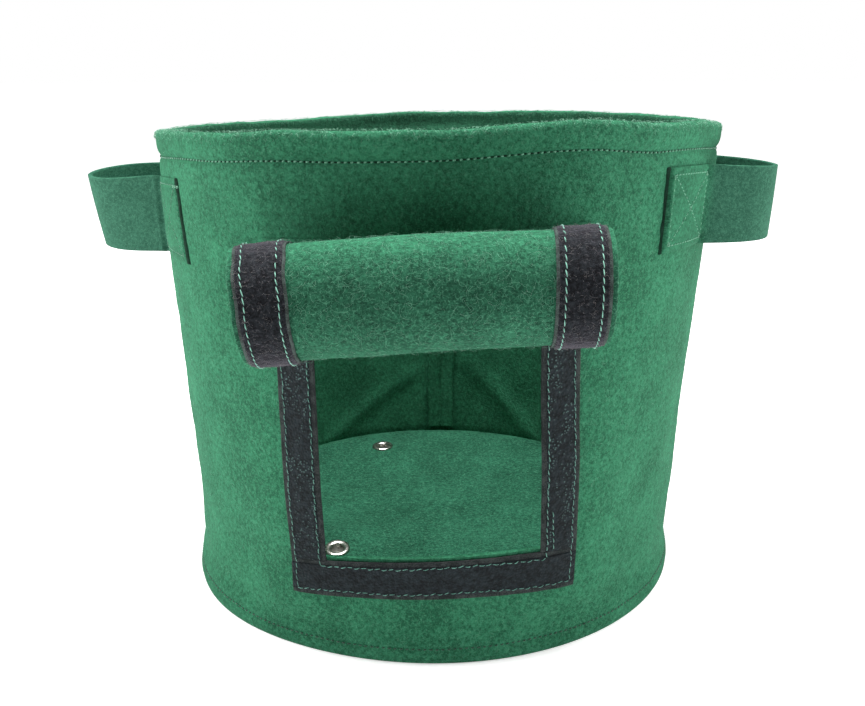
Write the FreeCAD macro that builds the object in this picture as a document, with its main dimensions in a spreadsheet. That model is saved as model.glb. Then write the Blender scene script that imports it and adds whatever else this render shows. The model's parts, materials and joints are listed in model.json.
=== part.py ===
"""Fabric grow bag: a round felt planter with a roll-up harvest flap, two strap handles and drain eyelets.

Frame: +Z up, the ground at Z = 0, the bag's axis on Z, the harvest window facing -Y.
An azimuth is counted from the window (-Y) towards +X, in degrees. Lengths are in millimetres.
The flap is one felt panel on the real bag. Here it is 18 flat slats, hinged at 17 lines,
so that it rolls up with 16 corners to a turn. A slat's own frame has +Z along the slat, away
from the sewn edge, and +Y towards the inside of the roll; its Y = 0 face carries the tape.
"""

import FreeCAD, Part
import math
import os

import Sketcher

FAILED_STATES = {"Invalid", "Error"}

# Driving dimensions. Radii are of the outer felt surface, unless the name says otherwise.
DRIVING = {
    # felt wall
    "bag_height": 297,
    "felt": 3,
    "foot_radius": 159,
    "rim_radius": 175.1,
    "flare_radius": 163.1,
    "flare_height": 20,
    "flare_taper": 0.4,
    "seam_height": 9,
    "hem_height": 283,
    "hem_depth": 18,
    "hem_swell": 1.5,
    "hem_rise": 4,
    "hem_thickness": 7,
    # base
    "base_top": 14,
    "base_spread": 1.2,
    "sewn_gap": 0.1,
    # harvest window and its hook tape
    "window_width": 116,
    "window_low": 63,
    "window_high": 228,
    "hook_width": 20,
    "hook_thickness": 1.5,
    "hook_low": 41,
    "hook_frame_angle": 27.7,
    "hook_side_angle": 7,
    "hook_high": 234.5,
    # flap
    "header_low": 236.3,
    "header_high": 244.5,
    "flap_width": 172,
    "flap_line": 236,
    "flap_stand_off": 4.4,
    "loop_width": 24,
    "loop_thickness": 2,
    "tape_margin": 2.2,
    "slat_gap": 0.12,
    "first_slat": 16,
    "outer_slat": 11.4,
    "slat_shrink": 0.33,
    "tape_slat": 6.5,
    "last_slat": 19,
    "roll_bend": 22.5,
    # handles
    "strap_low": 224.5,
    "strap_width": 47.5,
    "strap_thickness": 3,
    "patch_angle": 17.4,
    "loop_half_angle": 18,
    "left_handle": -88,
    "right_handle": 81,
    "left_reach": 48.5,
    "right_reach": 37.8,
    "loop_clear": 4.2,
    # eyelets
    "eyelet_bore": 4,
    "eyelet_hole": 4.5,
    "eyelet_flange": 8.5,
    "eyelet_roll": 1.2,
    "eyelet_curl": 0.7,
    "eyelet_round": 1,
    "press_gap": 0.05,
    "washer_thickness": 0.8,
    # sewing
    "seam_angle": 3.6,
    "thread": 0.8,
    "thread_angle": 0.12,
    "row_inset": 4,
    "hem_row": 281.5,
    "seam_row_top": 280,
    "foot_row_drop": 0.5,
    "foot_row_sink": 0.3,
    "tape_row_turn": 1.45,
    "patch_row_turn": 1.3,
}

# Where each eyelet is in the base: radius and azimuth
EYELETS = {
    "front_left": (89.7, -45),
    "front_right": (92, 64),
    "back_left": (125, -157.4),
    "back_right": (141, 135),
}


class Size:
    """A number together with the sheet expression that gives it."""

    def __init__(self, value, text=None):
        self.value = float(value)
        self.text = text or f"({float(value)!r})"

    def joined(self, sign, other, value):
        return Size(value, f"({self.text} {sign} {other.text})")

    def __add__(self, other):
        other = size(other)
        return self.joined("+", other, self.value + other.value)

    def __sub__(self, other):
        other = size(other)
        return self.joined("-", other, self.value - other.value)

    def __mul__(self, other):
        other = size(other)
        return self.joined("*", other, self.value * other.value)

    def __truediv__(self, other):
        other = size(other)
        return self.joined("/", other, self.value / other.value)

    def __neg__(self):
        return Size(-self.value, f"(0 - {self.text})")


def size(x):
    return x if isinstance(x, Size) else Size(x)


def sine(angle):
    return Size(math.sin(math.radians(angle.value)), f"sin({angle.text} * 1 deg)")


def root(x):
    return Size(math.sqrt(x.value), f"sqrt({x.text})")


def cosine(angle):
    return Size(math.cos(math.radians(angle.value)), f"cos({angle.text} * 1 deg)")


doc = FreeCAD.newDocument("grow_bag")
sheet = doc.addObject("Spreadsheet::Sheet", "sizes")
for row, (alias, number) in enumerate(DRIVING.items(), 1):
    sheet.set(f"A{row}", alias)
    sheet.set(f"B{row}", str(number))
    sheet.setAlias(f"B{row}", alias)
doc.recompute()
D = {alias: Size(sheet.get(alias), f"sizes.{alias}") for alias in DRIVING}

nodes = {}
Z_AXIS = FreeCAD.Vector(0, 0, 1)
X_AXIS = FreeCAD.Vector(1, 0, 0)


def keep(obj, label):
    """Make an object the sub-part with this name."""
    obj.Label = label
    nodes[label] = obj
    return obj


def wall_radius(height):
    """The outer radius of the wall at a height."""
    return D["foot_radius"] + (D["rim_radius"] - D["foot_radius"]) * height / D["bag_height"]


def turned(azimuth):
    """The placement that turns +X to an azimuth."""
    return FreeCAD.Placement(FreeCAD.Vector(), FreeCAD.Rotation(Z_AXIS, azimuth - 90))


def origin_plane(body, role):
    return next(f for f in body.Origin.OriginFeatures if f.Role == role)


def sketch_on(body, role, name):
    sketch = body.newObject("Sketcher::SketchObject", name)
    sketch.AttachmentSupport = [(origin_plane(body, role), "")]
    sketch.MapMode = "FlatFace"
    return sketch


def bound(sketch, kind, *where, to):
    """Add a constraint whose value is a Size."""
    index = sketch.addConstraint(Sketcher.Constraint(kind, *where, to.value))
    sketch.setExpression(f"Constraints[{index}]", to.text)


def outline(sketch, corners):
    """Close a chain of lines and arcs. A corner is (x, y), or (x, y, radius) where an arc
    comes to it from the corner before. The arc bulges to the right of the way along the
    chain, or to the left where the radius is negative."""
    points = [FreeCAD.Vector(c[0].value, c[1].value, 0) for c in corners]
    for i, corner in enumerate(corners):
        start, end = points[i - 1], points[i]
        if len(corner) == 3:
            chord = end - start
            radius = abs(corner[2].value)
            rise = radius - math.sqrt(max(radius**2 - chord.Length**2 / 4, 0))
            side = FreeCAD.Vector(chord.y, -chord.x, 0).normalize()
            side *= math.copysign(1, corner[2].value)
            middle = (start + end) * 0.5 + side * rise
            sketch.addGeometry(Part.Arc(start, middle, end))
        else:
            sketch.addGeometry(Part.LineSegment(start, end))
    count = len(corners)
    ends = []
    for i, corner in enumerate(corners):
        # an arc's own start and end go anticlockwise, which can be against the chain
        gap = sketch.getPoint(i, 2) - points[i]
        ends.append((2, 1) if gap.Length < 1e-6 else (1, 2))
    for i, corner in enumerate(corners):
        last, first = ends[i][0], ends[(i + 1) % count][1]
        sketch.addConstraint(Sketcher.Constraint("Coincident", i, last, (i + 1) % count, first))
        bound(sketch, "DistanceX", -1, 1, i, last, to=corner[0])
        bound(sketch, "DistanceY", -1, 1, i, last, to=corner[1])
        if len(corner) == 3:
            bound(sketch, "Radius", i, to=corner[2] if corner[2].value > 0 else -corner[2])


def body_of(name):
    return doc.addObject("PartDesign::Body", name)


def revolved(name, corners, angle=None):
    """A body made by turning an (r, z) outline about Z, from +X towards +Y."""
    body = body_of(name)
    sketch = sketch_on(body, "XZ_Plane", f"{name}_section")
    outline(sketch, corners)
    turn = body.newObject("PartDesign::Revolution", f"{name}_turn")
    turn.Profile = sketch
    turn.ReferenceAxis = (sketch, ["V_Axis"])
    if angle is None:
        turn.Angle = 360
    else:
        turn.setExpression("Angle", angle.text)
    return body


def padded(name, role, corners, length, both_ways=False):
    """A body made by padding an outline along its sketch's normal."""
    body = body_of(name)
    sketch = sketch_on(body, role, f"{name}_section")
    outline(sketch, corners)
    pad = body.newObject("PartDesign::Pad", f"{name}_pad")
    pad.Profile = sketch
    pad.setExpression("Length", length.text)
    if both_ways:
        pad.SideType = "Symmetric"
    return body


def band(name, low, high, start, end, inner, outer):
    """A strip that lies along the wall, between two heights and two azimuths, and between
    two distances from the wall's outer surface."""
    corners = [
        (wall_radius(low) + inner, low),
        (wall_radius(low) + outer, low),
        (wall_radius(high) + outer, high),
        (wall_radius(high) + inner, high),
    ]
    body = revolved(name, corners, end - start)
    body.Placement = turned(start.value)
    return body


def group(label, members):
    compound = doc.addObject("Part::Compound", f"{label}_group")
    compound.Links = members
    return keep(compound, label)


# The wall: a tapered tube of felt, flared where it meets the base, with its top edge
# folded inwards as a hem, and the harvest window cut in its front.
felt = D["felt"]
zero = size(0)
hem_outer = wall_radius(D["bag_height"]) + D["hem_swell"]
hem_inner = hem_outer - D["hem_thickness"]
hem_round = D["hem_thickness"] / 2
hem_shoulder = D["bag_height"] - hem_round
hem_end = D["bag_height"] - D["hem_depth"]
inset = D["sewn_gap"] * 2
wall = revolved(
    "wall",
    [
        (D["flare_radius"] - felt, zero),
        (D["flare_radius"], zero),
        (D["flare_radius"] - D["flare_taper"], D["seam_height"]),
        (wall_radius(D["flare_height"]), D["flare_height"]),
        (wall_radius(D["hem_height"]), D["hem_height"]),
        (hem_outer, D["hem_height"] + D["hem_rise"]),
        (hem_outer, hem_shoulder),
        (hem_outer - hem_round, D["bag_height"], hem_round),
        (hem_inner, hem_shoulder, hem_round),
        (wall_radius(hem_end) - felt * 2, hem_end),
        (wall_radius(hem_end) - felt, hem_end),
        (wall_radius(D["flare_height"]) - felt, D["flare_height"]),
        (D["flare_radius"] - felt - D["flare_taper"], D["seam_height"]),
    ],
)
half_window = D["window_width"] / 2
window_sketch = sketch_on(wall, "XZ_Plane", "window_outline")
outline(
    window_sketch,
    [
        (-half_window, D["window_low"]),
        (half_window, D["window_low"]),
        (half_window, D["window_high"]),
        (-half_window, D["window_high"]),
    ],
)
doc.recompute()
uncut = wall.Shape.Volume
window = wall.newObject("PartDesign::Pocket", "window_cut")
window.Profile = window_sketch
window.Reversed = True
window.setExpression("Length", (D["rim_radius"] + 20).text)
doc.recompute()
if not (wall.Shape.Volume < uncut * 0.99 and wall.Shape.Solids[0].CenterOfMass.y > 1):
    raise RuntimeError("the harvest window wasn't cut from the front of the wall")
keep(wall, "side_wall")

# The seam at the back, where the wall's two ends are sewn: their edges lie inside the bag.
seam_low = D["flare_height"] + 2
seam_high = hem_end - 1
half_seam = D["seam_angle"]
keep(
    band("seam", seam_low, seam_high, size(180) - half_seam, size(180) + half_seam,
         -felt * 2 - D["sewn_gap"], -felt - D["sewn_gap"]),
    "back_seam_allowance",
)

# The base: a felt disc, its edge turned down and sewn inside the foot of the wall.
base_under = D["base_top"] - felt
base_edge = wall_radius(D["flare_height"]) - felt - inset + D["base_spread"]
foot_inner = D["flare_radius"] - felt - inset
base = revolved(
    "base",
    [
        (zero, base_under),
        (base_edge - felt, base_under),
        (foot_inner - felt - D["flare_taper"], D["seam_height"]),
        (foot_inner - felt, zero),
        (foot_inner, zero),
        (foot_inner - D["flare_taper"], D["seam_height"]),
        (base_edge, D["base_top"]),
        (zero, D["base_top"]),
    ],
)
hole_sketch = sketch_on(base, "XY_Plane", "eyelet_holes")
for radius, azimuth in EYELETS.values():
    angle = math.radians(azimuth)
    centre = FreeCAD.Vector(radius * math.sin(angle), -radius * math.cos(angle), 0)
    circle = hole_sketch.addGeometry(Part.Circle(centre, Z_AXIS, D["eyelet_hole"].value))
    bound(hole_sketch, "DistanceX", -1, 1, circle, 3, to=size(centre.x))
    bound(hole_sketch, "DistanceY", -1, 1, circle, 3, to=size(centre.y))
    bound(hole_sketch, "Radius", circle, to=D["eyelet_hole"])
doc.recompute()
unpierced = base.Shape.Volume
holes = base.newObject("PartDesign::Pocket", "eyelet_cut")
holes.Profile = hole_sketch
holes.Reversed = True
holes.setExpression("Length", (D["base_top"] * 2).text)
doc.recompute()
if base.Shape.Volume > unpierced - 100:
    raise RuntimeError("the eyelet holes weren't cut")
keep(base, "base_disc")

# Eyelets: a rolled flange on the felt, a barrel through it, and a washer below that the
# barrel's end is curled over.
bore = D["eyelet_bore"]
press = D["press_gap"]
roll = D["eyelet_roll"]
lip = D["eyelet_round"]
barrel = D["eyelet_hole"] - press
flange = D["eyelet_flange"]
felt_top = D["base_top"] + press
washer_top = base_under - press
washer_low = washer_top - D["washer_thickness"]
curl_low = washer_low - D["eyelet_curl"]
eyelet_section = [
    (bore, curl_low),
    (barrel + roll, curl_low),
    (barrel + roll, washer_low - press),
    (barrel, washer_low - press),
    (barrel, felt_top),
    (flange, felt_top),
    (flange - roll, felt_top + roll, roll),
    (bore + lip, felt_top + roll),
    (bore, felt_top + roll - lip, lip),
]
washer_section = [
    (D["eyelet_hole"] + press, washer_low),
    (flange, washer_low),
    (flange, washer_top),
    (D["eyelet_hole"] + press, washer_top),
]
rings = []
washers = []
for place, (radius, azimuth) in EYELETS.items():
    angle = math.radians(azimuth)
    centre = FreeCAD.Vector(radius * math.sin(angle), -radius * math.cos(angle), 0)
    for made, section, kind in ((rings, eyelet_section, "eyelet"), (washers, washer_section, "washer")):
        piece = revolved(f"{kind}_{place}", section)
        piece.Placement = FreeCAD.Placement(centre, FreeCAD.Rotation())
        made.append(piece)
group("drain_eyelets", rings)
group("eyelet_washers", washers)

# Hook tape round the window: one strip below it and one up each side, sewn to the wall.
skin = D["sewn_gap"] / 2
frame_edge = D["hook_frame_angle"]
side_edge = frame_edge - D["hook_side_angle"]
hook_top = D["hook_low"] + D["hook_width"]
hook_face = D["hook_thickness"] + skin
butt = D["sewn_gap"] * 2
keep(band("hook_low_strip", D["hook_low"], hook_top, -frame_edge, frame_edge, skin, hook_face),
     "hook_tape_bottom")
keep(band("hook_left_strip", hook_top + butt, D["hook_high"], -frame_edge, -side_edge, skin, hook_face),
     "hook_tape_left")
keep(band("hook_right_strip", hook_top + butt, D["hook_high"], side_edge, frame_edge, skin, hook_face),
     "hook_tape_right")

# The flap's sewn edge, a strip that follows the wall above the window.
header_edge = D["flap_width"] / wall_radius(D["header_low"]) * (90 / math.pi)
header_face = felt + skin
keep(band("header", D["header_low"], D["header_high"], -header_edge, header_edge, skin, header_face),
     "flap_header")

# Handle ends: the strap's two ends, sewn flat on the wall on either side of the loop.
strap_top = D["strap_low"] + D["strap_width"]
strap_face = D["strap_thickness"] + skin
half_loop = D["loop_half_angle"]
for side in ("left", "right"):
    centre = D[f"{side}_handle"]
    ends = [
        (centre - half_loop - D["patch_angle"], centre - half_loop),
        (centre + half_loop, centre + half_loop + D["patch_angle"]),
    ]
    group(
        f"handle_{side}_sewn_ends",
        [
            band(f"{side}_end_{i}", D["strap_low"], strap_top, low, high, skin, strap_face)
            for i, (low, high) in enumerate(ends)
        ],
    )

# Handle loops: the free middle of each strap, an arch that stands out from the wall. In the
# loop's own frame +X points out through its middle.
foot = wall_radius(strap_top)
for side in ("left", "right"):
    reach = D[f"{side}_reach"]
    thick = D["strap_thickness"]
    foot_x = foot * cosine(half_loop) + D["loop_clear"]
    foot_y = foot * sine(half_loop)
    apex = foot + reach
    arch = ((apex - foot_x) * (apex - foot_x) + foot_y * foot_y) / ((apex - foot_x) * 2)
    inner_arch = arch - thick
    drop = foot_x - (apex - arch)
    inner_foot_y = root(inner_arch * inner_arch - drop * drop)
    body = padded(
        f"{side}_loop",
        "XY_Plane",
        [
            (foot_x, -foot_y),
            (apex, zero, arch),
            (foot_x, foot_y, arch),
            (foot_x, inner_foot_y),
            (apex - thick, zero, -inner_arch),
            (foot_x, -inner_foot_y, -inner_arch),
        ],
        D["strap_width"],
    )
    body.Placement = FreeCAD.Placement(
        FreeCAD.Vector(0, 0, D["strap_low"].value), turned(D[f"{side}_handle"].value).Rotation
    )
    keep(body, f"handle_{side}_loop")

doc.recompute()


# The flap: a chain of slats in the section at X = 0. The chain's frame leans with the wall:
# "out" is square to the wall's outer line, and "up" runs along it, from the flap's sewn line.
lean = math.degrees(math.atan2((D["rim_radius"] - D["foot_radius"]).value, D["bag_height"].value))
SLATS = 18
OUTER_SLATS = 8


def slat_length(i):
    """The first slat hangs from the sewn line, the next seven go half way round the roll,
    and each one after them is a little shorter, because it lies inside the turn before."""
    if i == 1:
        return D["first_slat"]
    if i <= OUTER_SLATS:
        return D["outer_slat"]
    if i == SLATS - 1:
        return D["tape_slat"]
    if i == SLATS:
        return D["last_slat"]
    return D["outer_slat"] - D["slat_shrink"] * (i - OUTER_SLATS)


def chain_point(out, up):
    """A point of the chain's frame, in the bag's."""
    low = math.radians(lean)
    away = wall_radius(D["flap_line"]).value + out * math.cos(low) + up * math.sin(low)
    height = D["flap_line"].value - out * math.sin(low) + up * math.cos(low)
    return FreeCAD.Vector(0, -away, height)


def slat_places():
    """The placement of each slat's start, and the chain's points, at rest."""
    out, up = D["flap_stand_off"].value, 0.0
    places = []
    for i in range(1, SLATS + 1):
        heading = -90 + D["roll_bend"].value * (i - 1)
        turn = FreeCAD.Rotation(X_AXIS, 90 - (heading - lean))
        places.append(FreeCAD.Placement(chain_point(out, up), turn))
        length = slat_length(i).value
        out += length * math.cos(math.radians(heading))
        up += length * math.sin(math.radians(heading))
    return places


def tape_strip(name, place, low_x, wide, start, length):
    """A strip of loop tape on a slat's outer face."""
    box = doc.addObject("Part::Box", name)
    box.setExpression("Length", wide.text)
    box.setExpression("Width", D["loop_thickness"].text)
    box.setExpression("Height", length.text)
    local = FreeCAD.Vector(low_x.value, -D["loop_thickness"].value, start.value)
    box.Placement = place.multiply(FreeCAD.Placement(local, FreeCAD.Rotation()))
    return box


half_bend = D["roll_bend"] / 2
mitre = felt * sine(half_bend) / cosine(half_bend)
gap = D["slat_gap"]
tape_gap = gap * 1.5
tape_outer = D["flap_width"] / 2 - D["tape_margin"]
for i, place in enumerate(slat_places(), 1):
    length = slat_length(i)
    start_mitre = mitre if i > 1 else zero
    end_mitre = mitre if i < SLATS else zero
    slat = padded(
        f"slat_body_{i}",
        "YZ_Plane",
        [
            (zero, gap),
            (felt, gap + start_mitre),
            (felt, length - gap - end_mitre),
            (zero, length - gap),
        ],
        D["flap_width"],
        both_ways=True,
    )
    slat.Placement = place
    keep(slat, f"flap_panel_{i}")
    if i >= SLATS - 1:
        name = f"loop_tape_bottom_{i - SLATS + 2}"
        length = length - tape_gap * 2
        keep(tape_strip(f"{name}_strip", place, -tape_outer, tape_outer * 2, tape_gap, length), name)
        continue
    strips = [
        tape_strip(f"loop_{end}_{i}", place, low_x, D["loop_width"], tape_gap, length - tape_gap * 2)
        for end, low_x in (("left", -tape_outer), ("right", tape_outer - D["loop_width"]))
    ]
    group(f"loop_tapes_{i}", strips)

# Sewing: each row of stitches is one thin strip that lies on the cloth.
thread = D["thread"]
proud = thread / 2
inset_row = D["row_inset"]


def row_across(name, height, start, end, on):
    return band(name, height - proud, height + proud, start, end, on, on + proud)


def row_up(name, low, high, azimuth, on):
    turn = D["thread_angle"]
    return band(name, low, high, azimuth - turn, azimuth + turn, on, on + proud)


keep(row_across("hem_row", D["hem_row"], zero, size(360), skin), "hem_thread")
foot_row = D["seam_height"] - D["foot_row_drop"]
foot_face = D["flare_radius"] - D["foot_row_sink"]
keep(
    revolved("foot_row", [
        (foot_face, foot_row - proud),
        (foot_face + proud, foot_row - proud),
        (foot_face + proud, foot_row + proud),
        (foot_face, foot_row + proud),
    ]),
    "foot_thread",
)
keep(row_up("seam_row", seam_low, D["seam_row_top"], size(180), skin), "back_seam_thread")
on_tape = hook_face + skin
row_turn = D["tape_row_turn"]
tape_rows = [
    row_across("low_row", D["hook_low"] + inset_row, -frame_edge + row_turn, frame_edge - row_turn, on_tape),
    row_across("high_row", hook_top - inset_row, -side_edge, side_edge, on_tape),
]
for sign, name in ((-1, "left"), (1, "right")):
    for place, azimuth in (("outer", frame_edge - row_turn), ("inner", side_edge + row_turn)):
        low = hook_top + 1
        tape_rows.append(
            row_up(f"{name}_{place}_row", low, D["hook_high"] - 2, azimuth * sign, on_tape)
        )
group("hook_tape_thread", tape_rows)
keep(
    row_across("header_row", D["header_low"] + inset_row, -header_edge + 1, header_edge - 1,
               header_face + skin),
    "flap_header_thread",
)
patch_in = D["patch_row_turn"]
on_strap = strap_face + skin
for side in ("left", "right"):
    centre = D[f"{side}_handle"]
    rows = []
    for sign in (-1, 1):
        near = centre + half_loop * sign
        far = centre + (half_loop + D["patch_angle"]) * sign
        low_az, high_az = (far, near) if sign < 0 else (near, far)
        low_az, high_az = low_az + patch_in, high_az - patch_in
        name = f"{side}_{'front' if sign < 0 else 'rear'}"
        for end, height in (("low", D["strap_low"] + inset_row), ("high", strap_top - inset_row)):
            rows.append(row_across(f"{name}_{end}", height, low_az, high_az, on_strap))
        for end, azimuth in (("start", low_az), ("end", high_az)):
            rows.append(
                row_up(f"{name}_{end}", D["strap_low"] + inset_row + 1, strap_top - inset_row - 1,
                       azimuth, on_strap)
            )
    group(f"handle_{side}_thread", rows)

doc.recompute()

faults = [o.Name for o in doc.Objects if FAILED_STATES & set(o.State)]
if faults:
    raise RuntimeError(f"these objects failed: {faults}")
os.makedirs("parts", exist_ok=True)
for label, node in nodes.items():
    if node.Shape.isNull() or not node.Shape.isValid() or not node.Shape.Solids:
        raise RuntimeError(f"{label} has no valid solid")
for label, node in sorted(nodes.items()):
    node.Shape.exportStep(f"parts/{label}.step")
print(f"{len(nodes)} sub-parts written")
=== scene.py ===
"""The looks of the fabric grow bag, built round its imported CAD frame.

Lengths are in metres. An azimuth is counted from the harvest window (-Y) towards +X.
The flap's section is described in the chain's frame: "out" is square to the wall above the
window, and "up" runs along the wall, both counted from the line where the flap is sewn on.
"""

import json
import math

import bpy
import numpy as np
from mathutils import Matrix, Vector, geometry

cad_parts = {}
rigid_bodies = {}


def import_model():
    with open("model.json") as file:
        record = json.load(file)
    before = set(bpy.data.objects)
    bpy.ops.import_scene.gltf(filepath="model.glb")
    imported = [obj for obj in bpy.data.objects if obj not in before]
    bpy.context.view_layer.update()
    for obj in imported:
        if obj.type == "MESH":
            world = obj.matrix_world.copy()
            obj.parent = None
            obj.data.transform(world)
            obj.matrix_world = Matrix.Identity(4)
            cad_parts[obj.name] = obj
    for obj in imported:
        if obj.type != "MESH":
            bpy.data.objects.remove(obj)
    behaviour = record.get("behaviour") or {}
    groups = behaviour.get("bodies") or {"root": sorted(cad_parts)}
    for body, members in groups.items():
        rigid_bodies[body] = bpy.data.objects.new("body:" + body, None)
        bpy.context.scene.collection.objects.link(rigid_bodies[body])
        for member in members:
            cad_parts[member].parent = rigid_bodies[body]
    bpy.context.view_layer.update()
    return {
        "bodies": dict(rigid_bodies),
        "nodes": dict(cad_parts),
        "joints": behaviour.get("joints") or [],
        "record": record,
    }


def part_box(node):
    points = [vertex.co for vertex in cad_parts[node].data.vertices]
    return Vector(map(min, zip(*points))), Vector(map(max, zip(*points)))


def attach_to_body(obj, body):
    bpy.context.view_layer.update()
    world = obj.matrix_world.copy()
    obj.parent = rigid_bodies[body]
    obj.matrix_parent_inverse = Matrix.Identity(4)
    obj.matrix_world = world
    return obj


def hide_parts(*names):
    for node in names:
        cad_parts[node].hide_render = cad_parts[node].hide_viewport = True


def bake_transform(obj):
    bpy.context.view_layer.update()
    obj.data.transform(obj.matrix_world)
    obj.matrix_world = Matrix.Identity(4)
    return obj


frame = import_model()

MM = 0.001

# The felt wall, as in the CAD model
BAG_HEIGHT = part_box("side_wall")[1].z
FELT = 3 * MM
FOOT_RADIUS = 159 * MM
RIM_RADIUS = 175.1 * MM
FLARE_RADIUS = 163.1 * MM
FLARE_HEIGHT = 20 * MM
HEM_LINE = 281.5 * MM
FOOT_LINE = 8.5 * MM
HEM_END = 279 * MM
HEM_THICKNESS = 7 * MM
HEM_SWELL = 0.7 * MM
WINDOW_HALF = 58 * MM
WINDOW_LOW = 63 * MM
WINDOW_HIGH = 228 * MM
BASE_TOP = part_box("base_disc")[1].z
EYELETS = {
    "front_left": (89.7 * MM, -45),
    "front_right": (92 * MM, 64),
    "back_left": (125 * MM, -157.4),
    "back_right": (141 * MM, 135),
}
EYELET_HOLE = 4.5 * MM

# Hook tape round the window
HOOK_WIDTH = 20 * MM
LOOP_WIDTH = 24 * MM
HOOK_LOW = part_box("hook_tape_bottom")[0].z
HOOK_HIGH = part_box("hook_tape_left")[1].z
FRAME_ANGLE = 27.7
SIDE_ANGLE = 20.7
HOOK_THICKNESS = 1.5 * MM

# The flap, rolled up: the lengths of its slats, and how each turns from the one before
SLATS = 18
FLAP_HALF = 86 * MM
FLAP_LINE = 236 * MM
HEADER_LOW = 236.3 * MM
HEADER_HIGH = 244.5 * MM
STAND_OFF = 4.4 * MM
OUTER_SLAT = 11.4 * MM
SLAT_LENGTHS = [16 * MM] + [OUTER_SLAT] * 7
SLAT_LENGTHS += [OUTER_SLAT - 0.33 * MM * turn for turn in range(1, 9)] + [6.5 * MM, 19 * MM]
ROLL_BEND = math.radians(22.5)
ROLL_TILT = math.radians(3.6)
TAPE_EDGE = 83.8 * MM

# The header's shares of the roll's tilt: as it is sewn on, and as it bends to the first slat
HEADER_TILT = 0.45
HEADER_BEND_TILT = 0.75

# The share of the way between two slats' middles by which each piece's span is drawn in at each end
BLEND_INSET = 0.1

# Handles: where each is, and how its strap departs from the plain one
STRAP_MIDDLE = 248.25 * MM
STRAP_THICKNESS = 3 * MM
PATCH_ANGLE = 17.4
LOOP_HALF_ANGLE = 18
LOOP_BEND = (2 * MM, 27 * MM)
HANDLES = {
    "left": {"azimuth": -89, "reach": 47.5 * MM, "width": 51 * MM, "lift": -3.7 * MM, "droop": 1.4 * MM,
             "tip": 0.2, "tilt": 0.05, "skew": -1.7, "press": 1.3 * MM},
    "right": {"azimuth": 82.3, "reach": 36 * MM, "width": 46 * MM, "lift": 1.4 * MM, "droop": 1 * MM,
              "tip": 0.03, "tilt": 0.0, "skew": 0.0, "press": 0.0},
}

# Rows of stitches: pitch, length and radius in mm, how deep they sink and how they slant
STITCHES = {
    "hem": (3.3, 1.7, 0.42, 0.1, 0.2),
    "needle_hole": (3.3, 2.0, 0.5, 0.5, 0.0),
    "foot": (3.4, 2.3, 0.45, 0.3, 0.15),
    "seam": (3.2, 2.5, 0.34, 0.3, 0.0),
    "hook_tape": (3.9, 3.4, 0.27, 0.15, 0.16),
    "loop_tape": (3.6, 3.2, 0.27, 0.15, 0.16),
    "handle": (3.1, 2.4, 0.3, 0.1, 0.12),
    "header": (3.2, 2.4, 0.34, 0.2, 0.15),
}

# Loose fibres: length and radius in mm, how far they rise and how much they curl
FIBRES = {
    "tape": (3.4, 0.05, 0.7, 0.9),
    "flap": (6.5, 0.06, 0.35, 0.6),
    "rim": (2.8, 0.045, 0.7, 0.6),
    "crest": (2.6, 0.06, 0.8, 0.7),
    "wall": (3.5, 0.035, 0.3, 0.6),
}

rng = np.random.default_rng(7)


# ---------------------------------------------------------------- shapes


def smooth(x):
    """0 up to 0, 1 from 1 on, and a soft slope between them."""
    x = np.clip(x, 0, 1)
    return x * x * (3 - 2 * x)


def hump(x, width):
    """A bell curve: 1 where x is 0, and 0.37 where it is the width."""
    return np.exp(-((x / width) ** 2))


def unit(vectors):
    """Vectors brought to length 1."""
    return vectors / np.maximum(np.linalg.norm(vectors, axis=-1, keepdims=True), 1e-9)


def joined(*arrays):
    """Arrays, broadcast, as the columns of one."""
    return np.stack(np.broadcast_arrays(*arrays), axis=-1)


def run_along(line):
    """The length along a line of points, up to each of them."""
    return np.concatenate([[0], np.cumsum(np.linalg.norm(np.diff(line, axis=0), axis=1))])


def bezier(a, b, c, d, t):
    """Points on the curve from a to d that b and c pull at."""
    return (1 - t) ** 3 * a + 3 * (1 - t) ** 2 * t * b + 3 * (1 - t) * t**2 * c + t**3 * d


def wobble(points, size, seed=0):
    """Smooth noise from -1 to 1 with features of that size, at an array of points."""
    p = np.asarray(points, float) / size + seed * 17.31
    cell = np.floor(p).astype(np.int64)
    f = p - cell
    f = f * f * (3 - 2 * f)
    total = np.zeros(p.shape[:-1])
    for corner in range(8):
        step = np.array([corner & 1, corner >> 1 & 1, corner >> 2 & 1])
        c = cell + step
        mixed = c[..., 0] * 73856093 ^ c[..., 1] * 19349663 ^ c[..., 2] * 83492791
        mixed = (mixed ^ mixed >> 13) * 1274126177 & 0xFFFFFFF
        value = mixed / 0x7FFFFFF - 1.0
        weight = np.prod(np.where(step, f, 1 - f), axis=-1)
        total += weight * value
    return total


def wall_radius(z):
    """The outer radius of the plain wall, with neither flare nor hem."""
    return FOOT_RADIUS + (RIM_RADIUS - FOOT_RADIUS) * z / BAG_HEIGHT


def outer_radius(z):
    """The outer radius of the wall: flared at the foot, nipped by the threads and swollen by
    the fold above the hem's thread."""
    flare = (FLARE_RADIUS - FOOT_RADIUS - 0.4 * MM) * smooth(1 - (z - 3 * MM) / FLARE_HEIGHT)
    nip = -1.4 * MM * hump(z - HEM_LINE, 2.2 * MM)
    pull = -0.7 * MM * hump(z - FOOT_LINE, 2 * MM)
    swell = HEM_SWELL * smooth((z - HEM_LINE) / (7 * MM))
    return wall_radius(z) + flare + nip + pull + swell


def at(azimuth, radius, z):
    """Points at azimuths in degrees, radii and heights, which broadcast."""
    a = np.radians(azimuth)
    return joined(radius * np.sin(a), -radius * np.cos(a), z)


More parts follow.
